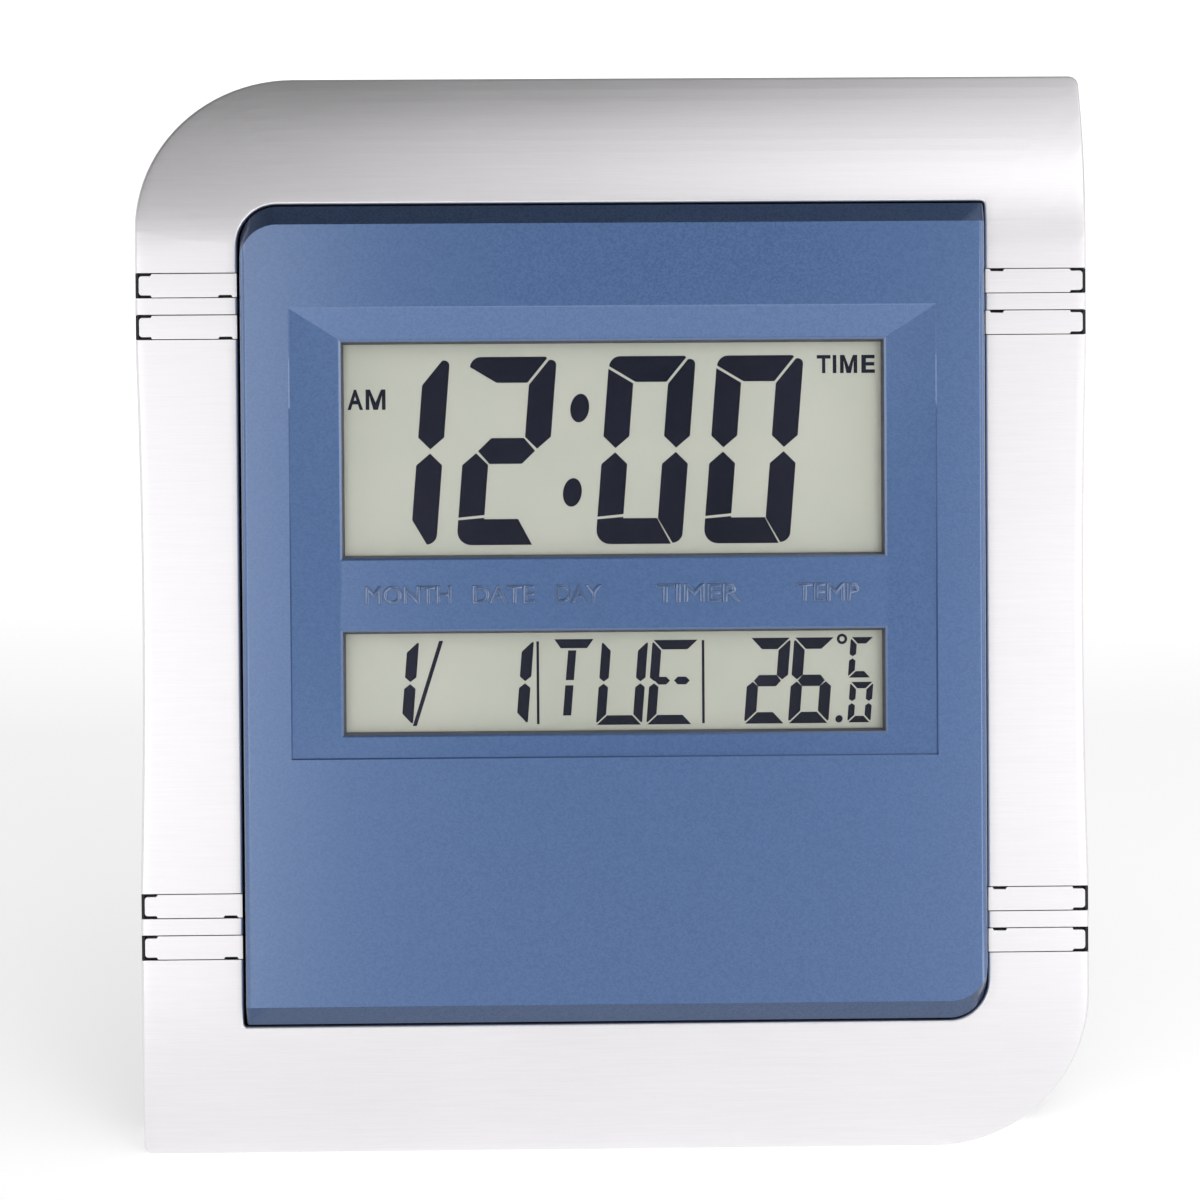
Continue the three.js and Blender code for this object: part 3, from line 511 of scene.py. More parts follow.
def in_window(place):
    """True inside or on the edge of a window."""
    return abs(place.x) < WINDOW_SIDE + NEAR and any(low - NEAR < place.z < high + NEAR
                                                     for low, high in WINDOWS.values())


def sink(depth, old_side, old_ends, side, ends):
    """Extrudes the selected face back and brings its edges to a new half width and new ends."""
    extrude(y=depth)
    old_middle = sum(old_ends) / 2
    bpy.ops.transform.resize(value=(side / old_side, 1, (ends[1] - ends[0]) / (old_ends[1] - old_ends[0])),
                             center_override=(0, 0, old_middle))
    shift(z=sum(ends) / 2 - old_middle)


STEP_SIDE = SURROUND_SIDE - STEP_DRAFT
STEP_ENDS = (SURROUND_ENDS[0] + STEP_DRAFT, SURROUND_ENDS[1] - STEP_DRAFT)
pick(blue_panel, "faces", at_surround)
sink(STEP_FOOT, SURROUND_SIDE, SURROUND_ENDS, STEP_SIDE, STEP_ENDS)
sink(FLOOR_FRONT - PANEL_FRONT - STEP_FOOT, STEP_SIDE, STEP_ENDS, FLOOR_SIDE, FLOOR_ENDS)
pick(blue_panel, "verts", lambda v: abs(v.co.y - PANEL_FRONT - STEP_FOOT) < NEAR and v.co.z > MIDDLE)
shift(y=STEP_HEAD - STEP_FOOT)
pick(blue_panel, "faces", lambda f: at_surround(f) and not on_floor(f))
bpy.ops.mesh.subdivide(number_cuts=SLOPE_CUTS)
slice_at(blue_panel, "x", (-WINDOW_SIDE, WINDOW_SIDE), on_floor)
slice_at(blue_panel, "z", WINDOWS["time"] + WINDOWS["date"], on_floor)
for low, high in WINDOWS.values():
    pick(blue_panel, "faces", lambda f: on_floor(f) and in_window(f.calc_center_median())
         and low < f.calc_center_median().z < high)
    sink(WINDOW_BACK - FLOOR_FRONT, WINDOW_SIDE, (low, high), WINDOW_SIDE - WINDOW_DRAFT,
         (low + WINDOW_DRAFT, high - WINDOW_DRAFT))
    bpy.ops.mesh.delete(type="FACE")
pick(blue_panel, "edges", lambda e: e.is_boundary and middle_of(e).y < FLOOR_FRONT)
extrude(y=-PANEL_FRONT)
tray = bmesh.from_edit_mesh(blue_panel.data)
for vertex in tray.verts:
    if vertex.select:
        vertex.co.z += math.copysign(PANEL_BASE - PANEL_FACE, vertex.co.z - MIDDLE)
extrude(y=PANEL_BACK)
tray = bmesh.from_edit_mesh(blue_panel.data)
for vertex in tray.verts:
    run_in = min(abs(vertex.co.x) - PANEL_SIDE + SIDE_ROUND, SIDE_ROUND)
    if run_in > 0 and vertex.co.y < FLOOR_FRONT:
        vertex.co.y += SIDE_ROUND - math.sqrt(SIDE_ROUND ** 2 - run_in ** 2)
bmesh.update_edit_mesh(blue_panel.data)
face_outwards(blue_panel)
edit(blue_panel)


def is_fold(e):
    return e.calc_face_angle(0) > SLIGHT_FOLD


def on_rim(e):
    """True on the face's own outer edge."""
    centre = middle_of(e)
    return abs(centre.y - PANEL_FRONT) < NEAR and not (abs(centre.x) < RIM_SIDE
                                                       and abs(centre.z - MIDDLE) < SURROUND_SIDE)


def in_surround(e):
    centre = middle_of(e)
    return (abs(centre.x) < SURROUND_SIDE + NEAR
            and SURROUND_ENDS[0] - NEAR < centre.z < SURROUND_ENDS[1] + NEAR)


bevel(blue_panel, "edges", lambda e: is_fold(e) and in_window(middle_of(e))
      and abs(middle_of(e).y - FLOOR_FRONT) < NEAR, MOUTH_CHAMFER, segments=1)
pick(blue_panel, "edges", lambda e: is_fold(e) and in_surround(e))
bpy.ops.mesh.mark_sharp()
pick(blue_panel, "verts", lambda v: v.co.x > RIM_SIDE)
shift(x=PANEL_SIT)
tray = bmesh.from_edit_mesh(blue_panel.data)
weight = tray.edges.layers.float.new("bevel_weight_edge")
for edge in tray.edges:
    if is_fold(edge) and on_rim(edge):
        edge[weight] = 1
only(blue_panel)
modify(blue_panel, "BEVEL", width=END_EASE, segments=2, limit_method="WEIGHT")
modify(blue_panel, "SOLIDIFY", thickness=PANEL_WALL, offset=-1, use_even_offset=True)


def paint_flakes(group, place, fineness):
    """Metal flakes in paint: small cells, each with its own tilt and brightness."""
    cells = new_node(group, "TexVoronoi", vector=place, scale=fineness)
    split = new_node(group, "SeparateColor", color=cells.outputs["Color"])
    shade = blend(group, split.outputs["Red"], noise(group, place, fineness=900, detail=3), share=0.45)
    return shade, shade


def flake_paint(name, colors, relief, coat_weight=1.0, coat_ior=1.75):
    """Metallic paint under a clear coat."""
    return finish_with(name, FLAKES, 2800, colors, (0.36, 0.46), relief, metallic=0.9,
                       coat_weight=coat_weight, coat_roughness=0.16, coat_ior=coat_ior)


FLAKES = pattern("paint_flakes", paint_flakes)
blue_paint = flake_paint("metallic_blue_paint", ((77, 107, 154), (85, 115, 162)), 25)
# A darker blue for the tray's steep ends: painted shade where the ends turn away from the light.
end_shade_paint = flake_paint("end_blue_painted_shade", ((56, 78, 114), (66, 88, 124)), 30, coat_weight=0.7, coat_ior=1.5)
# A plain dark grey for the windows' walls: painted shade in the wells round the cells.
window_wall_shade = finish_with("bare_blue_plastic", GRAIN, 1600, ((84, 85, 92), (96, 97, 104)), (0.55, 0.7), 20)
for paint in (blue_paint, end_shade_paint, window_wall_shade):
    blue_panel.data.materials.append(paint)
# The steep end faces take the darker blue and the window walls the dark grey, both painted shade.
for polygon in blue_panel.data.polygons:
    at_end = abs(polygon.center.z - MIDDLE) > PANEL_FACE - PANEL_CORNERS[0] and polygon.center.y < 0
    if at_end and abs(polygon.normal.z) > END_SLOPE:
        polygon.material_index = 1
    elif in_window(polygon.center) and polygon.center.y > FLOOR_FRONT + MOUTH_CHAMFER:
        polygon.material_index = 2
fit(blue_panel, "clock_body", blue_paint, ["blue_panel"])


# Captions.
# Plain function words moulded on the strip between the windows and painted over with the panel, so that
# mostly their edges show. Their paint is a little darker than the panel's, as painted shade on the letters.
CAPTIONS = (("MONTH", -57.5, -37.5), ("DATE", -32.8, -18.3), ("DAY", -13.6, -2.8), ("TIMER", 9.5, 29.5),
            ("TEMP", 42.1, 56.8))
CAPTION_SPAN = (MIDDLE + 2.6, MIDDLE + 7.0)
CAPTION_RISE = 0.45
CAPTION_WEIGHT = 0.04
WELD = 0.001


def word(name, text, sides, span, y, thickness, weight):
    """Lettering made a mesh, thickened by its eased edge and stretched to its box on the face, with its front
    at a depth y."""
    only()
    bpy.ops.object.text_add()
    letters = bpy.context.object
    letters.name = name
    letters.data.body = text
    letters.data.extrude = 0.02
    letters.data.bevel_depth = weight
    letters.data.bevel_resolution = 1
    letters.data.resolution_u = 4
    bpy.ops.object.convert(target="MESH")
    letters = bpy.context.object
    letters.data.name = name
    points = letters.data.vertices
    low = [min(v.co[axis] for v in points) for axis in range(3)]
    high = [max(v.co[axis] for v in points) for axis in range(3)]
    for v in points:
        across, up, front = ((v.co[axis] - low[axis]) / (high[axis] - low[axis]) for axis in range(3))
        v.co = (sides[0] + across * (sides[1] - sides[0]), y + (1 - front) * thickness,
                span[0] + up * (span[1] - span[0]))
    edit(letters)
    select_all()
    bpy.ops.mesh.remove_doubles(threshold=WELD)
    only(letters)
    return letters


# The captions' paint is a darker blue than the panel's: painted shade on the raised letters.
caption_shade_paint = flake_paint("caption_painted_shade", ((66, 92, 133), (77, 103, 144)), 30)
for text, left, right in CAPTIONS:
    caption = word(f"caption_{text.lower()}", text, (left, right), CAPTION_SPAN, FLOOR_FRONT - CAPTION_RISE,
                   2 * CAPTION_RISE, CAPTION_WEIGHT)
    fit(caption, "clock_body", caption_shade_paint, [], smooth=30)


# Window lenses.
# Two plates of clear acrylic sheet with eased edges. They lie behind the panel's windows, and the tray that
# clamps the cells holds them there.
LENS_LAP = 1.45
LENS_FRONT = 0.3
LENS_BACK = 1.3
LENS_EASE = 0.2


def eased_block(name, sides, depth, span, ease):
    """A block with all its edges eased."""
    piece = block(name, sides, depth, span)
    edit(piece)
    bevel(piece, "edges", lambda e: True, ease, segments=2)
    only(piece)
    return piece


def clear_acrylic():
    """Clear plate that lets light rays through to the display behind it, with a faint unevenness."""
    finish = finish_with("clear_acrylic", GRAIN, 90, ((250, 252, 251), (255, 255, 255)), (0.02, 0.05), 1,
                         transmission_weight=1.0, ior=1.35)
    tree = finish.node_tree
    either = new_node(tree, "MixShader", fac=new_node(tree, "LightPath").outputs["Is Shadow Ray"])
    give(tree, either.inputs[1], tree.nodes["Principled BSDF"].outputs["BSDF"])
    give(tree, either.inputs[2], new_node(tree, "BsdfTransparent").outputs["BSDF"])
    feed(tree, tree.nodes["Material Output"], surface=either.outputs["Shader"])
    return finish


acrylic = clear_acrylic()
for window, (low, high) in WINDOWS.items():
    reach = WINDOW_SIDE + LENS_LAP
    lens = eased_block(f"{window}_lens_plate", (-reach, reach), (LENS_FRONT, LENS_BACK),
                       (low - LENS_LAP, high + LENS_LAP), LENS_EASE)
    fit(lens, "clock_body", acrylic, [f"{window}_window_lens"])


# Liquid crystal cells.
# Two sandwiches of glass with a grey polariser on the front, each with a contact ledge on one edge. The dark
# characters are the switched-on bars of the display, a hair proud of the polariser.
CELL_SIDE = 65.4
CELL_FRONT = 1.6
CELL_BACK = 3.8
CELL_LAP = 2.05
CELL_LEDGE = 3.65
CELL_EASE = 0.12
BAR_RISE = 0.04
SLANT = 0.0815
BIG = {"width": 20.05, "height": 43.5, "stroke": 6}
SMALL = {"width": 9.4, "height": 19.9, "stroke": 2.65}
LETTER = {"width": 10.7, "height": 19.6, "stroke": 2.2}
TINY = {"width": 5.4, "height": 9.4, "stroke": 1.5}
MITRE_GAP = 0.24
DOT_STEPS = 24
LIT = {
    "0": ("top", "upper_left", "upper_right", "lower_left", "lower_right", "bottom"),
    "1": ("upper_right", "lower_right"),
    "2": ("top", "upper_right", "middle", "lower_left", "bottom"),
    "6": ("top", "upper_left", "middle", "lower_left", "lower_right", "bottom"),
    "C": ("top", "upper_left", "lower_left", "bottom"),
    "E": ("top", "upper_left", "lower_left", "bottom"),
    "U": ("upper_left", "upper_right", "lower_left", "lower_right", "bottom"),
}


def bar_corners(width, height, stroke):
    """The corners of a big character's seven bars from its lower left, with the number of the corner that is
    rounded, if one is, and its radius."""
    k = stroke / 5.7
    half = height / 2
    tip = 0.45 * k
    neck = 3.05 * k
    inner = width - stroke
    centre = stroke / 2
    return {
        "top": ([(0.1 * k, height - 2.2 * k), (0.3 * k, height), (width - 2.5 * k, height),
                 (width - 2.1 * k, height - 0.35 * k), (inner - 0.35 * k, height - stroke),
                 (stroke + 0.5 * k, height - stroke)], 1, 2 * k),
        "upper_right": ([(width - centre, half + tip), (width, half + neck), (width, height - 0.5 * k),
                         (width - 1.7 * k, height - 0.75 * k), (inner, height - stroke - 0.45 * k),
                         (inner, half + neck)], 2, 1.5 * k),
        "lower_right": ([(width - centre, half - tip), (inner, half - neck), (inner, stroke - 0.1 * k),
                         (width - 2.1 * k, 0.2 * k), (width, 0.4 * k), (width, half - neck)], 4, 1.9 * k),
        "upper_left": ([(centre, half + tip), (stroke, half + neck), (stroke, height - stroke - 0.3 * k),
                        (0, height - 2.75 * k), (0, half + neck)], None, 0),
        "lower_left": ([(centre, half - tip), (0, half - neck), (0, 6.05 * k), (stroke, 6.6 * k),
                        (stroke, half - neck)], None, 0),
        "bottom": ([(0, 5.5 * k), (0, 0), (width - 2.4 * k, 0), (inner - 0.2 * k, stroke), (stroke, stroke),
                    (stroke, 6.0 * k)], 1, 3.3 * k),
        "middle": ([(centre + 0.4 * k, half), (stroke + 0.25 * k, half + centre),
                    (inner - 0.25 * k, half + centre), (width - centre - 0.4 * k, half),
                    (inner - 0.25 * k, half - centre), (stroke + 0.25 * k, half - centre)], None, 0),
    }


def mitred_corners(width, height, stroke):
    """The same for a small character, whose bars meet in plain mitres."""
    half = height / 2
    shoulder = half + stroke / 2
    upright = [(width - stroke / 2, half + MITRE_GAP), (width, shoulder), (width, height - MITRE_GAP),
               (width - stroke, height - stroke - MITRE_GAP), (width - stroke, shoulder)]
    level = [(MITRE_GAP, height), (width - MITRE_GAP, height), (width - stroke - MITRE_GAP, height - stroke),
             (stroke + MITRE_GAP, height - stroke)]
    middle = [(stroke / 2 + MITRE_GAP, half), (stroke, shoulder), (width - stroke, shoulder),
              (width - stroke / 2 - MITRE_GAP, half), (width - stroke, height - shoulder),
              (stroke, height - shoulder)]

    def mirrored(corners, across, over):
        return [(width - x if across else x, height - z if over else z) for x, z in corners]

    bars = {"top": (level, None, 0), "middle": (middle, None, 0),
            "bottom": (mirrored(level, False, True), None, 0)}
    for name, across, over in (("upper_right", False, False), ("upper_left", True, False),
                               ("lower_right", False, True), ("lower_left", True, True)):
        bars[name] = (mirrored(upright, across, over), 2, 0.3 * stroke)
    return bars


def display_bar(corners, rounded=None, radius=0.0):
    """One bar of a display: a sheet with these corners, one of them rounded, drawn out to a thin plate."""
    bar = start("display_bar", bpy.ops.mesh.primitive_circle_add, vertices=len(corners), fill_type="NGON")
    for v, (x, z) in zip(bar.data.vertices, corners):
        v.co = (x, CELL_FRONT, z)
    edit(bar)
    if rounded is not None:
        bevel(bar, "verts", lambda v: math.dist((v.co.x, v.co.z), corners[rounded]) < NEAR, radius,
              segments=6)
    select_all()
    extrude(y=-BAR_RISE)
    face_outwards(bar)
    return bar


def character_bars(size, corners_of):
    return {name: display_bar(*shape) for name, shape in corners_of(**size).items()}


def show(bars, character, x, z):
    """Copies the lit bars of a character to its place, slanted."""
    slanted = Matrix(((1, 0, SLANT, x), (0, 1, 0, 0), (0, 0, 1, z), (0, 0, 0, 1)))
    return [copy_of(bars[name], f"lit_{name}", slanted) for name in LIT[character]]


def strip(start_point, end_point, width):
    """A straight bar between two points of the display, cut level at its ends."""
    (x0, z0), (x1, z1) = start_point, end_point
    half = width / 2
    if abs(z1 - z0) > abs(x1 - x0):
        return display_bar([(x0 - half, z0), (x0 + half, z0), (x1 + half, z1), (x1 - half, z1)])
    return display_bar([(x0, z0 - half), (x1, z1 - half), (x1, z1 + half), (x0, z0 + half)])


def dash(left, right, z, thickness):
    """A short level bar with pointed ends."""
    half = thickness / 2
    return display_bar([(left, z), (left + half, z - half), (right - half, z - half), (right, z),
                        (right - half, z + half), (left + half, z + half)])


def letter_m(sides, span, stroke):
    """The letter M with its middle drawn down to the line."""
    (left, right), (low, high) = sides, span
    centre = (left + right) / 2
    spread = 0.62 * stroke
    shoulder = high - 0.3 * (high - low)
    valley = low + 0.36 * (high - low)
    half = [(left, low), (left + stroke, low), (left + stroke, shoulder), (centre - spread, low)]
    top = [(right, high), (right - 1.2 * stroke, high), (centre, valley), (left + 1.2 * stroke, high),
           (left, high)]
    return display_bar(half + [(left + right - x, z) for x, z in reversed(half)] + top)


def dot(x, z, width, height):
    turns = [step * math.tau / DOT_STEPS for step in range(DOT_STEPS)]
    rises = [height / 2 * math.sin(turn) for turn in turns]
    return display_bar([(x + width / 2 * math.cos(turn) + SLANT * rise, z + rise)
                        for turn, rise in zip(turns, rises)])


def joined(name, pieces):
    only(*pieces)
    bpy.ops.object.join()
    whole = bpy.context.object
    whole.name = whole.data.name = name
    return whole


def soft_mottle(group, place, fineness):
    """A slow, faint unevenness, as in film, lacquer or resin."""
    fine = noise(group, place, fineness=2500, detail=2)
    return blend(group, noise(group, place, fineness, detail=2), fine, share=0.15), fine


MOTTLE = pattern("soft_mottle", soft_mottle)
polariser = finish_with("grey_polariser", MOTTLE, 14, ((192, 194, 182), (204, 205, 194)), (0.42, 0.5), 2,
                        specular_ior_level=0.2)
switched_on = finish_with("switched_on_crystal", MOTTLE, 30, ((20, 24, 40), (30, 32, 50)), (0.4, 0.5), 2,
                          specular_ior_level=0.1)

for window, (low, high) in WINDOWS.items():
    ends = (low - CELL_LEDGE, high + CELL_LAP) if window == "time" else (low - CELL_LAP, high + CELL_LEDGE)
    cell = eased_block(f"{window}_crystal_cell", (-CELL_SIDE, CELL_SIDE), (CELL_FRONT, CELL_BACK), ends,
                       CELL_EASE)
    fit(cell, "clock_body", polariser, [f"{window}_lcd"])

big = character_bars(BIG, bar_corners)
small, letter, tiny = (character_bars(size, mitred_corners) for size in (SMALL, LETTER, TINY))
TIME_FOOT = MIDDLE + 16.15
AM_SPAN = (MIDDLE + 47.6, MIDDLE + 52.3)
TIME_SPAN = (MIDDLE + 55.4, MIDDLE + 59.6)
LEGEND_STROKE = 0.85
LEGEND_WEIGHT = 0.028
COLON = {"width": 4.4, "height": 6.65}
LEGENDS = (("A", (-61.3, -57.7), AM_SPAN), ("T", (47.4, 50.6), TIME_SPAN), ("I", (51.1, 51.95), TIME_SPAN),
           ("E", (57.75, 60.9), TIME_SPAN))
time_lit = [word("lit_letter", text, sides, span, CELL_FRONT - BAR_RISE, BAR_RISE, LEGEND_WEIGHT)
            for text, sides, span in LEGENDS]
time_lit += [letter_m((-57.1, -52.5), AM_SPAN, LEGEND_STROKE),
             letter_m((52.8, 56.8), TIME_SPAN, LEGEND_STROKE),
             dot(-7.6, MIDDLE + 47.7, **COLON), dot(-9.45, MIDDLE + 28.2, **COLON)]
for character, x in (("1", -61.1), ("2", -36.4), ("0", -4.2), ("0", 20.8)):
    time_lit += show(big, character, x, TIME_FOOT)
fit(joined("time_lcd_characters", time_lit), "clock_body", switched_on, [],
    smooth=30)

DATE_FOOT = MIDDLE - 25.95
date_lit = [strip((-46.35, DATE_FOOT + 0.3), (-40.1, DATE_FOOT + 20), 0.95),
            strip((-17.75, DATE_FOOT + 0.5), (-17.75, DATE_FOOT + 19.7), 0.6),
            strip((20.6, DATE_FOOT + 0.4), (20.6, DATE_FOOT + 19.7), 0.6),
            display_bar([(-13.9, MIDDLE - 5.8), (-12.4, MIDDLE - 7.9), (-6.3, MIDDLE - 7.9),
                         (-4.8, MIDDLE - 5.8)]),
            strip((-10.35, MIDDLE - 15.3), (-9.75, MIDDLE - 8.4), 1.9),
            strip((-11.05, MIDDLE - 23.5), (-10.45, MIDDLE - 16.5), 1.9),
            dash(9.3, 12.9, MIDDLE - 15.6, 1.8), dash(13.8, 17.5, MIDDLE - 15.6, 1.8),
            dot(52.1, MIDDLE - 24.8, 1.7, 1.7)]
for bars, character, x, lift in ((small, "1", -56.2, 0.3), (small, "1", -29.6, 0.3), (letter, "U", -4.4, 0.2),
                                 (letter, "E", 7.3, 0.2), (small, "2", 30.0, 0.2), (small, "6", 40.2, 0.2),
                                 (tiny, "C", 54.2, 10.7), (tiny, "0", 54.0, 0.3)):
    date_lit += show(bars, character, x, DATE_FOOT + lift)
degree = start("lit_degree", bpy.ops.mesh.primitive_torus_add, major_radius=0.9, minor_radius=0.32,
               major_segments=24, minor_segments=6, rotation=(math.pi / 2, 0, 0),
               location=(52.9, CELL_FRONT, MIDDLE - 6.25))
for v in degree.data.vertices:
    v.co.y = CELL_FRONT + (v.co.y - CELL_FRONT) * BAR_RISE
date_lit.append(degree)
fit(joined("date_lcd_characters", date_lit), "clock_body", switched_on, [],
    smooth=30)
for bars in (big, small, letter, tiny):
    for bar in bars.values():
        bpy.data.objects.remove(bar)


# Inside the case.
# The white tray that clamps the cells, their rubber connectors, and the circuit board with its parts and
# screws. They are out of sight and stay as the frame has them, each in its own finish.
white_plastic = finish_with("white_plastic", GRAIN, 1500, ((221, 220, 214), (232, 231, 226)), (0.45, 0.6),
                            10)
board_green = finish_with("board_lacquer", MOTTLE, 180, ((38, 92, 58), (50, 108, 70)), (0.3, 0.42), 10)
black_resin = finish_with("black_resin", MOTTLE, 240, ((20, 20, 23), (28, 28, 31)), (0.25, 0.45), 10)
tinned_metal = finish_with("tinned_metal", STREAKS, 1800, ((188, 190, 194), (205, 207, 210)), (0.25, 0.4),
                           4, metallic=1.0)
screw_steel = finish_with("screw_steel", STREAKS, 2600, ((150, 152, 157), (172, 174, 178)), (0.28, 0.42),
                          4, metallic=1.0)
black_rubber = finish_with("black_rubber", GRAIN, 1200, ((26, 26, 28), (38, 38, 40)), (0.75, 0.9), 30)
refinish(["lcd_holder"], white_plastic)
refinish(["time_zebra_strip", "date_zebra_strip"], black_rubber)
refinish(["circuit_board"], board_green)
refinish(["controller_chip", "temperature_sensor"], black_resin)
refinish(["quartz_crystal", *(f"key_switch_{number}" for number in range(1, 6))], tinned_metal)
refinish(["buzzer"], dark_plastic)
refinish([f"board_screw_{number}" for number in range(1, 5)], screw_steel)


# Rear cover.
# A moulded back of dark grey plastic with a stepped rim, screw wells, a battery doorway, button holes and
# sound slots. It takes the CAD shape, merged and with its sharp edges eased.
COVER_EASE = 0.25
MERGE_WITHIN = 5 * MICRON
FLAT_WITHIN = math.radians(1)
EASE_ABOVE = math.radians(40)


def eased_copy(node, name, ease, segments=2):
    """A copy of a CAD node with its loose triangles merged, flat faces whole and sharp edges eased, in
    metres."""
    piece = bpy.data.objects.new(name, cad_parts[node].data.copy())
    piece.data.name = name
    piece.data.materials.clear()
    bpy.context.scene.collection.objects.link(piece)
    edit(piece)
    select_all()
    bpy.ops.mesh.remove_doubles(threshold=MERGE_WITHIN)
    bpy.ops.mesh.dissolve_limited(angle_limit=FLAT_WITHIN)
    only(piece)
    if ease:
        modify(piece, "BEVEL", width=ease * MM, segments=segments, limit_method="ANGLE",
               angle_limit=EASE_ABOVE)
    return piece


cover_plastic = finish_with("cover_plastic", GRAIN, 1300, ((52, 54, 60), (64, 66, 72)), (0.5, 0.64), 40)
fit(eased_copy("rear_cover", "rear_cover_moulding", COVER_EASE), "clock_body", cover_plastic,
    ["rear_cover"], place=None)


# Set buttons.
# Five dished key caps, moulded in black plastic. Each slides in a hole of the cover, held in by its collar,
# and its stem reaches down to its switch on the board.
BUTTON_PITCH = 22
BUTTON_Z = 175
CAP = {"radius": 4.6, "front": 27.7, "back": 31.6}
COLLAR = {"radius": 6, "front": 26.3}
STEM = {"radius": 2.2, "front": 16.2}
DISH = {"rim": 1.1, "slope": 1.4, "depth": 0.45, "round": 0.6}


def drum(name, vertices, radius, front, back):
    """A cylinder from front to back."""
    return start(name, bpy.ops.mesh.primitive_cylinder_add, vertices=vertices, radius=radius,
                 depth=back - front, location=(0, (front + back) / 2, 0), rotation=(math.pi / 2, 0, 0))


def faces_back(f):
    return f.normal.y > SQUARE_ON


def grow_to(radius_now, radius_next, centre):
    """Scales the selected ring of an upright turned piece about its axis."""
    ratio = radius_next / radius_now
    bpy.ops.transform.resize(value=(ratio, 1, ratio), center_override=centre)


button = drum("set_button", vertices=40, **CAP)
edit(button)
pick(button, "faces", faces_back)
bpy.ops.mesh.inset(thickness=DISH["rim"])
bpy.ops.mesh.inset(thickness=DISH["slope"])
shift(y=-DISH["depth"])
bevel(button, "edges", lambda e: is_sharp(e) and all(abs(v.co.y - CAP["back"]) < NEAR for v in e.verts),
      DISH["round"], segments=4)
pick(button, "faces", faces_front)
axis_at = Vector((0, CAP["front"], 0))
extrude()
grow_to(CAP["radius"], COLLAR["radius"], axis_at)
extrude(y=COLLAR["front"] - CAP["front"])
extrude()
grow_to(COLLAR["radius"], STEM["radius"], axis_at)
extrude(y=STEM["front"] - COLLAR["front"])
only(button)
button_plastic = finish_with("button_plastic", GRAIN, 1900, ((30, 31, 34), (40, 41, 45)), (0.36, 0.5), 15)
for number in range(1, 6):
    place = Matrix.Translation(((number - 3) * BUTTON_PITCH, 0, BUTTON_Z))
    key = copy_of(button, f"set_button_{number}_cap", place)
    fit(key, f"button_{number}", button_plastic, [f"set_button_{number}"])
bpy.data.objects.remove(button)


# Case screws.
# Six round-headed steel screws, each with a pressed cross recess and a plain shank. They sink in the cover's
# wells and hold it to posts on the chassis.
SCREW_X = 97
SCREW_HEIGHTS = (52, 125, 198)
SCREW_HEAD = {"radius": 2.9, "front": 27.3, "back": 29.47}
HEAD_ROUND = 0.95
SHANK = {"radius": 1.45, "tip_radius": 0.725, "point": 9.5}
RECESS = {"half_width": 0.42, "reach": 1.7, "depth": 1.1}
SCREW_TURN = 0.7

screw = drum("case_screw", vertices=32, **SCREW_HEAD)
edit(screw)
bevel(screw, "edges", lambda e: all(abs(v.co.y - SCREW_HEAD["back"]) < NEAR for v in e.verts), HEAD_ROUND,
      segments=5)


def on_head(f):
    return faces_back(f) and abs(f.calc_center_median().y - SCREW_HEAD["back"]) < NEAR


def in_recess(f):
    centre = f.calc_center_median()
    narrow, wide = sorted((abs(centre.x), abs(centre.z)))
    return on_head(f) and narrow < RECESS["half_width"] and wide < RECESS["reach"]


for axis in "xz":
    slice_at(screw, axis, (-RECESS["reach"], -RECESS["half_width"], RECESS["half_width"], RECESS["reach"]),
             on_head)
pick(screw, "faces", in_recess)
extrude(y=-RECESS["depth"])
pick(screw, "faces", faces_front)
seat_at = Vector((0, SCREW_HEAD["front"], 0))
extrude()
grow_to(SCREW_HEAD["radius"], SHANK["radius"], seat_at)
extrude(y=SHANK["point"] + SHANK["radius"] - SCREW_HEAD["front"])
extrude(y=-SHANK["radius"])
grow_to(SHANK["radius"], SHANK["tip_radius"], seat_at)
face_outwards(screw)
for number, (x, z) in enumerate(((x, z) for x in (-SCREW_X, SCREW_X) for z in SCREW_HEIGHTS), 1):
    place = Matrix.Translation((x, 0, z)) @ Matrix.Rotation(number * SCREW_TURN, 4, "Y")
    fastener = copy_of(screw, f"case_screw_{number}_cross", place)
    fit(fastener, "clock_body", screw_steel, [f"case_screw_{number}"])
bpy.data.objects.remove(screw)


# Battery bay.
# Two AA cells side by side, one each way up, in plain wraps with a copper-coloured band at the plus end. They
# press on tinned plates and steel springs, with two leads up to the board.
BAY_X = 57
CELL_SPACING = 16
AA = {"radius": 7.25, "length": 49.2, "nub": 1.2, "nub_radius": 2.7, "band": 11, "shoulder": 1.2, "sink": 0.3,
      "wrap_lap": 1.3, "ease": 0.35}
AA_Y = 19.95
AA_LOWS = (30.4, 25.1)

aa_cell = start("aa_cell", bpy.ops.mesh.primitive_cylinder_add, vertices=48, radius=AA["radius"],
                depth=AA["length"], location=(0, 0, AA["length"] / 2))
edit(aa_cell)
slice_at(aa_cell, "z", [AA["length"] - AA["band"]])
pick(aa_cell, "faces", lambda f: f.normal.z > SQUARE_ON)
bpy.ops.mesh.inset(thickness=AA["shoulder"])
shift(z=-AA["sink"])
bpy.ops.mesh.inset(thickness=AA["radius"] - AA["shoulder"] - AA["nub_radius"])
extrude(z=AA["nub"] + AA["sink"])
bevel(aa_cell, "edges", is_sharp, AA["ease"], segments=3)
face_outwards(aa_cell)
cell_wrap = finish_with("cell_wrap", MOTTLE, 60, ((48, 74, 58), (58, 86, 68)), (0.25, 0.35), 4)
cell_band = finish_with("cell_band", STREAKS, 1500, ((176, 120, 74), (192, 136, 88)), (0.25, 0.38), 4,
                        metallic=0.9)
for finish in (cell_wrap, cell_band, tinned_metal):
    aa_cell.data.materials.append(finish)
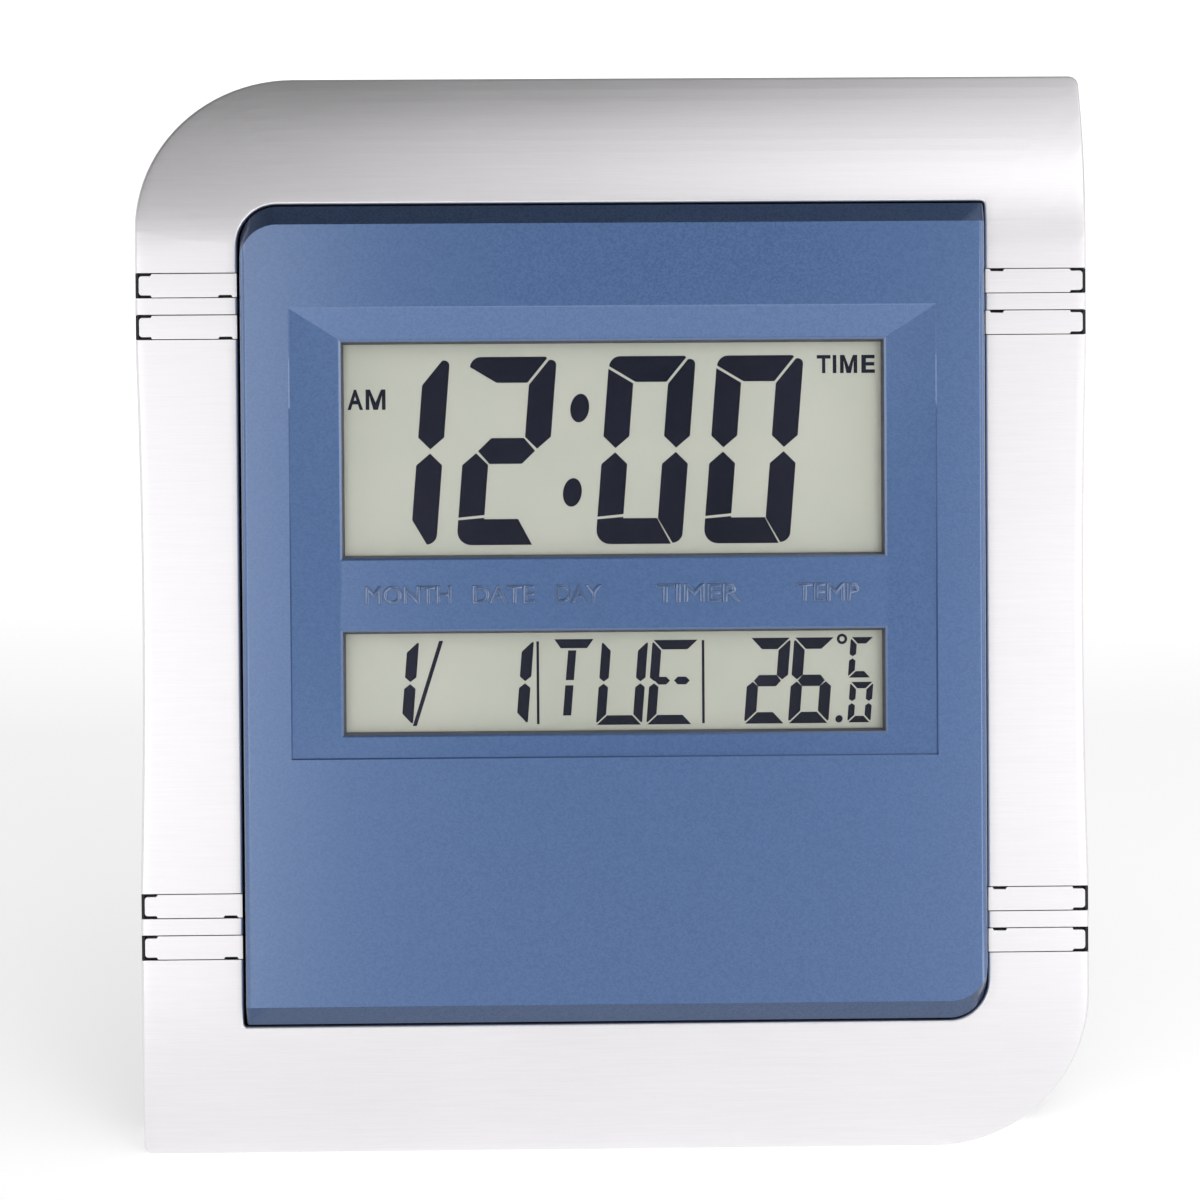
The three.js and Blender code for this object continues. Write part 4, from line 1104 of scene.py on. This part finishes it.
for polygon in aa_cell.data.polygons:
    outward = math.hypot(polygon.center.x, polygon.center.y)
    if outward < AA["radius"] - AA["wrap_lap"]:
        polygon.material_index = 2
    elif polygon.center.z > AA["length"] - AA["band"]:
        polygon.material_index = 1
full_length = AA["length"] + AA["nub"]
upside_down = Matrix.Translation((0, 0, full_length)) @ Matrix.Rotation(math.pi, 4, "X")
for number, (side, low, turn) in enumerate(zip((-1, 1), AA_LOWS, (Matrix(), upside_down)), 1):
    place = Matrix.Translation((BAY_X + side * CELL_SPACING / 2, AA_Y, low))
    cell = copy_of(aa_cell, f"battery_cell_{number}_wrapped", place @ turn)
    fit(cell, "clock_body", cell_wrap, [f"battery_cell_{number}"])
bpy.data.objects.remove(aa_cell)

red_wire = finish_with("red_wire", MOTTLE, 300, ((150, 34, 38), (172, 44, 46)), (0.4, 0.5), 5)
black_wire = finish_with("black_wire", MOTTLE, 300, ((24, 24, 26), (34, 34, 36)), (0.4, 0.5), 5)
for node, slot, finish in (("battery_bridge_spring", "steel", screw_steel),
                           ("battery_minus_spring", "steel", screw_steel),
                           ("battery_lead_red", "red_wire", red_wire),
                           ("battery_lead_black", "black_wire", black_wire)):
    fit(eased_copy(node, f"{node}_smooth", 0), "clock_body", finish, [node], place=None, smooth=80)
refinish(["battery_plus_plate", "battery_minus_plate", "battery_bridge_plate"], tinned_metal)


# Battery door.
# A snap-in lid moulded in the cover's plastic, with eased edges. Grip ribs across its lower end help a thumb
# to pull it off the bay.
DOOR_SIDES = (39.4, 74.6)
DOOR_DEPTH = (28.3, 30)
DOOR_SPAN = (23.1, 82.8)
DOOR_EASE = 0.3
RIB = {"half_length": 9, "half_height": 0.6, "first": 29, "pitch": 2.6, "count": 4, "rise": 0.6, "ease": 0.3}

door = eased_block("battery_door_lid", DOOR_SIDES, DOOR_DEPTH, DOOR_SPAN, DOOR_EASE)
edit(door)
rib_heights = [RIB["first"] + row * RIB["pitch"] for row in range(RIB["count"])]
rib_edges = [z + side * RIB["half_height"] for z in rib_heights for side in (-1, 1)]
slice_at(door, "x", (BAY_X - RIB["half_length"], BAY_X + RIB["half_length"]), faces_back)
slice_at(door, "z", rib_edges, faces_back)


def on_rib(f):
    centre = f.calc_center_median()
    return (faces_back(f) and abs(centre.x - BAY_X) < RIB["half_length"]
            and any(abs(centre.z - z) < RIB["half_height"] for z in rib_heights))


pick(door, "faces", on_rib)
extrude(y=RIB["rise"])
rib_top = DOOR_DEPTH[1] + RIB["rise"]
bevel(door, "edges", lambda e: is_sharp(e) and all(v.co.y > rib_top - NEAR for v in e.verts), RIB["ease"],
      segments=3)
only(door)
fit(door, "door", cover_plastic, ["battery_door"])


# Stand.
# A moulded leg on a steel pin between two ears of the cover, with a rubber pad under its end. The shapes are
# the CAD ones with eased edges.
for node, name, ease, segments, body, slot, finish in (
        ("stand_ear_left", "stand_ear_left_eased", 0.4, 2, "clock_body", "cover_plastic", cover_plastic),
        ("stand_ear_right", "stand_ear_right_eased", 0.4, 2, "clock_body", "cover_plastic", cover_plastic),
        ("stand_hinge_pin", "stand_hinge_pin_turned", 0.2, 2, "clock_body", "steel", screw_steel),
        ("stand_leg", "stand_leg_moulding", 0.5, 3, "stand", "cover_plastic", cover_plastic),
        ("stand_foot_pad", "stand_foot_rubber", 0.6, 3, "stand", "rubber", black_rubber)):
    fit(eased_copy(node, name, ease, segments), body, finish, [node], place=None)


# Studio.
# A white table in a soft room, darker overhead and where the camera stands. The key lamp throws the shadow
# back to the left, soft lamps light the face from the left, the right and above, and a low strip at each side
# lights the rims. The camera looks down along the face's normal.
CAMERA_AT = (-0.02784, -0.96872, 0.42496)
CAMERA_DOWN = math.radians(17.494)
CAMERA_RIGHT = math.radians(1.477)
LENS_LENGTH = 129.59
ROOM_RISE = (0.05, 0.9)
ROOM_LEVELS = (0.67, 0.155)
STAND_X = (0.03, 0.14)
STAND_Z = (0.34, 0.2)
STAND_SHADE = 0.98
SIDE_LIGHT = 0.3
TABLE_GLOW = (0.52, 0.89)
GLOW_REACH = (0.25, 0.7)
TABLE_SIZE = 12
LAMP_AIM = Vector((0, 0, 0.12))


def lamp(name, place, size, power):
    """A square soft lamp that looks at the middle of the clock."""
    light = bpy.data.lights.new(name, "AREA")
    light.size = size
    light.energy = power
    holder = bpy.data.objects.new(name, light)
    holder.location = place
    holder.rotation_euler = (LAMP_AIM - Vector(place)).to_track_quat("-Z", "Y").to_euler()
    bpy.context.scene.collection.objects.link(holder)


table = start("table", bpy.ops.mesh.primitive_plane_add, size=TABLE_SIZE)
table_white = finish_with("table_white", MOTTLE, 6, ((228, 228, 228), (232, 232, 232)), (0.7, 0.8), 10)
tree = table_white.node_tree
rays = new_node(tree, "LightPath")
seen = reckon(tree, "MAXIMUM", rays.outputs["Is Camera Ray"],
              reckon(tree, "MAXIMUM", rays.outputs["Is Glossy Ray"], rays.outputs["Is Transmission Ray"]))
sweep = new_node(tree, "SeparateXYZ", vector=new_node(tree, "TexCoord").outputs["Object"])
glow = reckon(tree, "MULTIPLY", seen, ranged(tree, sweep.outputs["Y"], *GLOW_REACH, *TABLE_GLOW))
feed(tree, tree.nodes["Principled BSDF"], emission_color=(1, 1, 1, 1), emission_strength=glow)
table.data.materials.append(table_white)

world = bpy.data.worlds.new("soft_room")
bpy.context.scene.world = world
world.use_nodes = True
tree = world.node_tree
direction = new_node(tree, "SeparateXYZ", vector=new_node(tree, "TexCoord").outputs["Generated"])
room = ranged(tree, direction.outputs["Z"], *ROOM_RISE, *ROOM_LEVELS)


def squared_off(axis, at, reach):
    """Square of how far a direction lies off a place, in reaches."""
    off = reckon(tree, "DIVIDE", reckon(tree, "SUBTRACT", direction.outputs[axis], at), reach)
    return reckon(tree, "MULTIPLY", off, off)


away = reckon(tree, "ADD", squared_off("X", *STAND_X), squared_off("Z", *STAND_Z))
near_stand = reckon(tree, "EXPONENT", reckon(tree, "MULTIPLY", away, -1))
in_front = reckon(tree, "LESS_THAN", direction.outputs["Y"], 0)
shade = reckon(tree, "MULTIPLY", reckon(tree, "MULTIPLY", near_stand, in_front), STAND_SHADE)
sides = reckon(tree, "ADD", reckon(tree, "MULTIPLY", squared_off("X", 0, 1), SIDE_LIGHT), 1)
level = reckon(tree, "MULTIPLY", reckon(tree, "MULTIPLY", room, sides), reckon(tree, "SUBTRACT", 1, shade))
feed(tree, tree.nodes["Background"], strength=level, color=(1, 1, 1, 1))
lamp("key_softbox", (0.38, -0.9, 1.15), size=0.6, power=1.62)
lamp("left_softbox", (-0.37, -1.0, 0.39), size=0.5, power=1.42)
lamp("right_softbox", (0.48, -1.0, 0.34), size=0.45, power=1.38)
lamp("top_softbox", (0.52, -0.24, 1.09), size=1.05, power=3.1)
lamp("right_strip", (1.0, -0.35, 0.35), size=0.3, power=0.5)
lamp("left_strip", (-1.0, -0.35, 0.35), size=0.3, power=0.35)

camera = bpy.data.objects.new("camera", bpy.data.cameras.new("camera"))
camera.location = CAMERA_AT
camera.rotation_euler = (math.pi / 2 - CAMERA_DOWN, 0, -CAMERA_RIGHT)
camera.data.lens = LENS_LENGTH
camera.data.sensor_width = 36
bpy.context.scene.collection.objects.link(camera)
bpy.context.scene.camera = camera
bpy.context.scene.view_settings.view_transform = "Standard"

only()
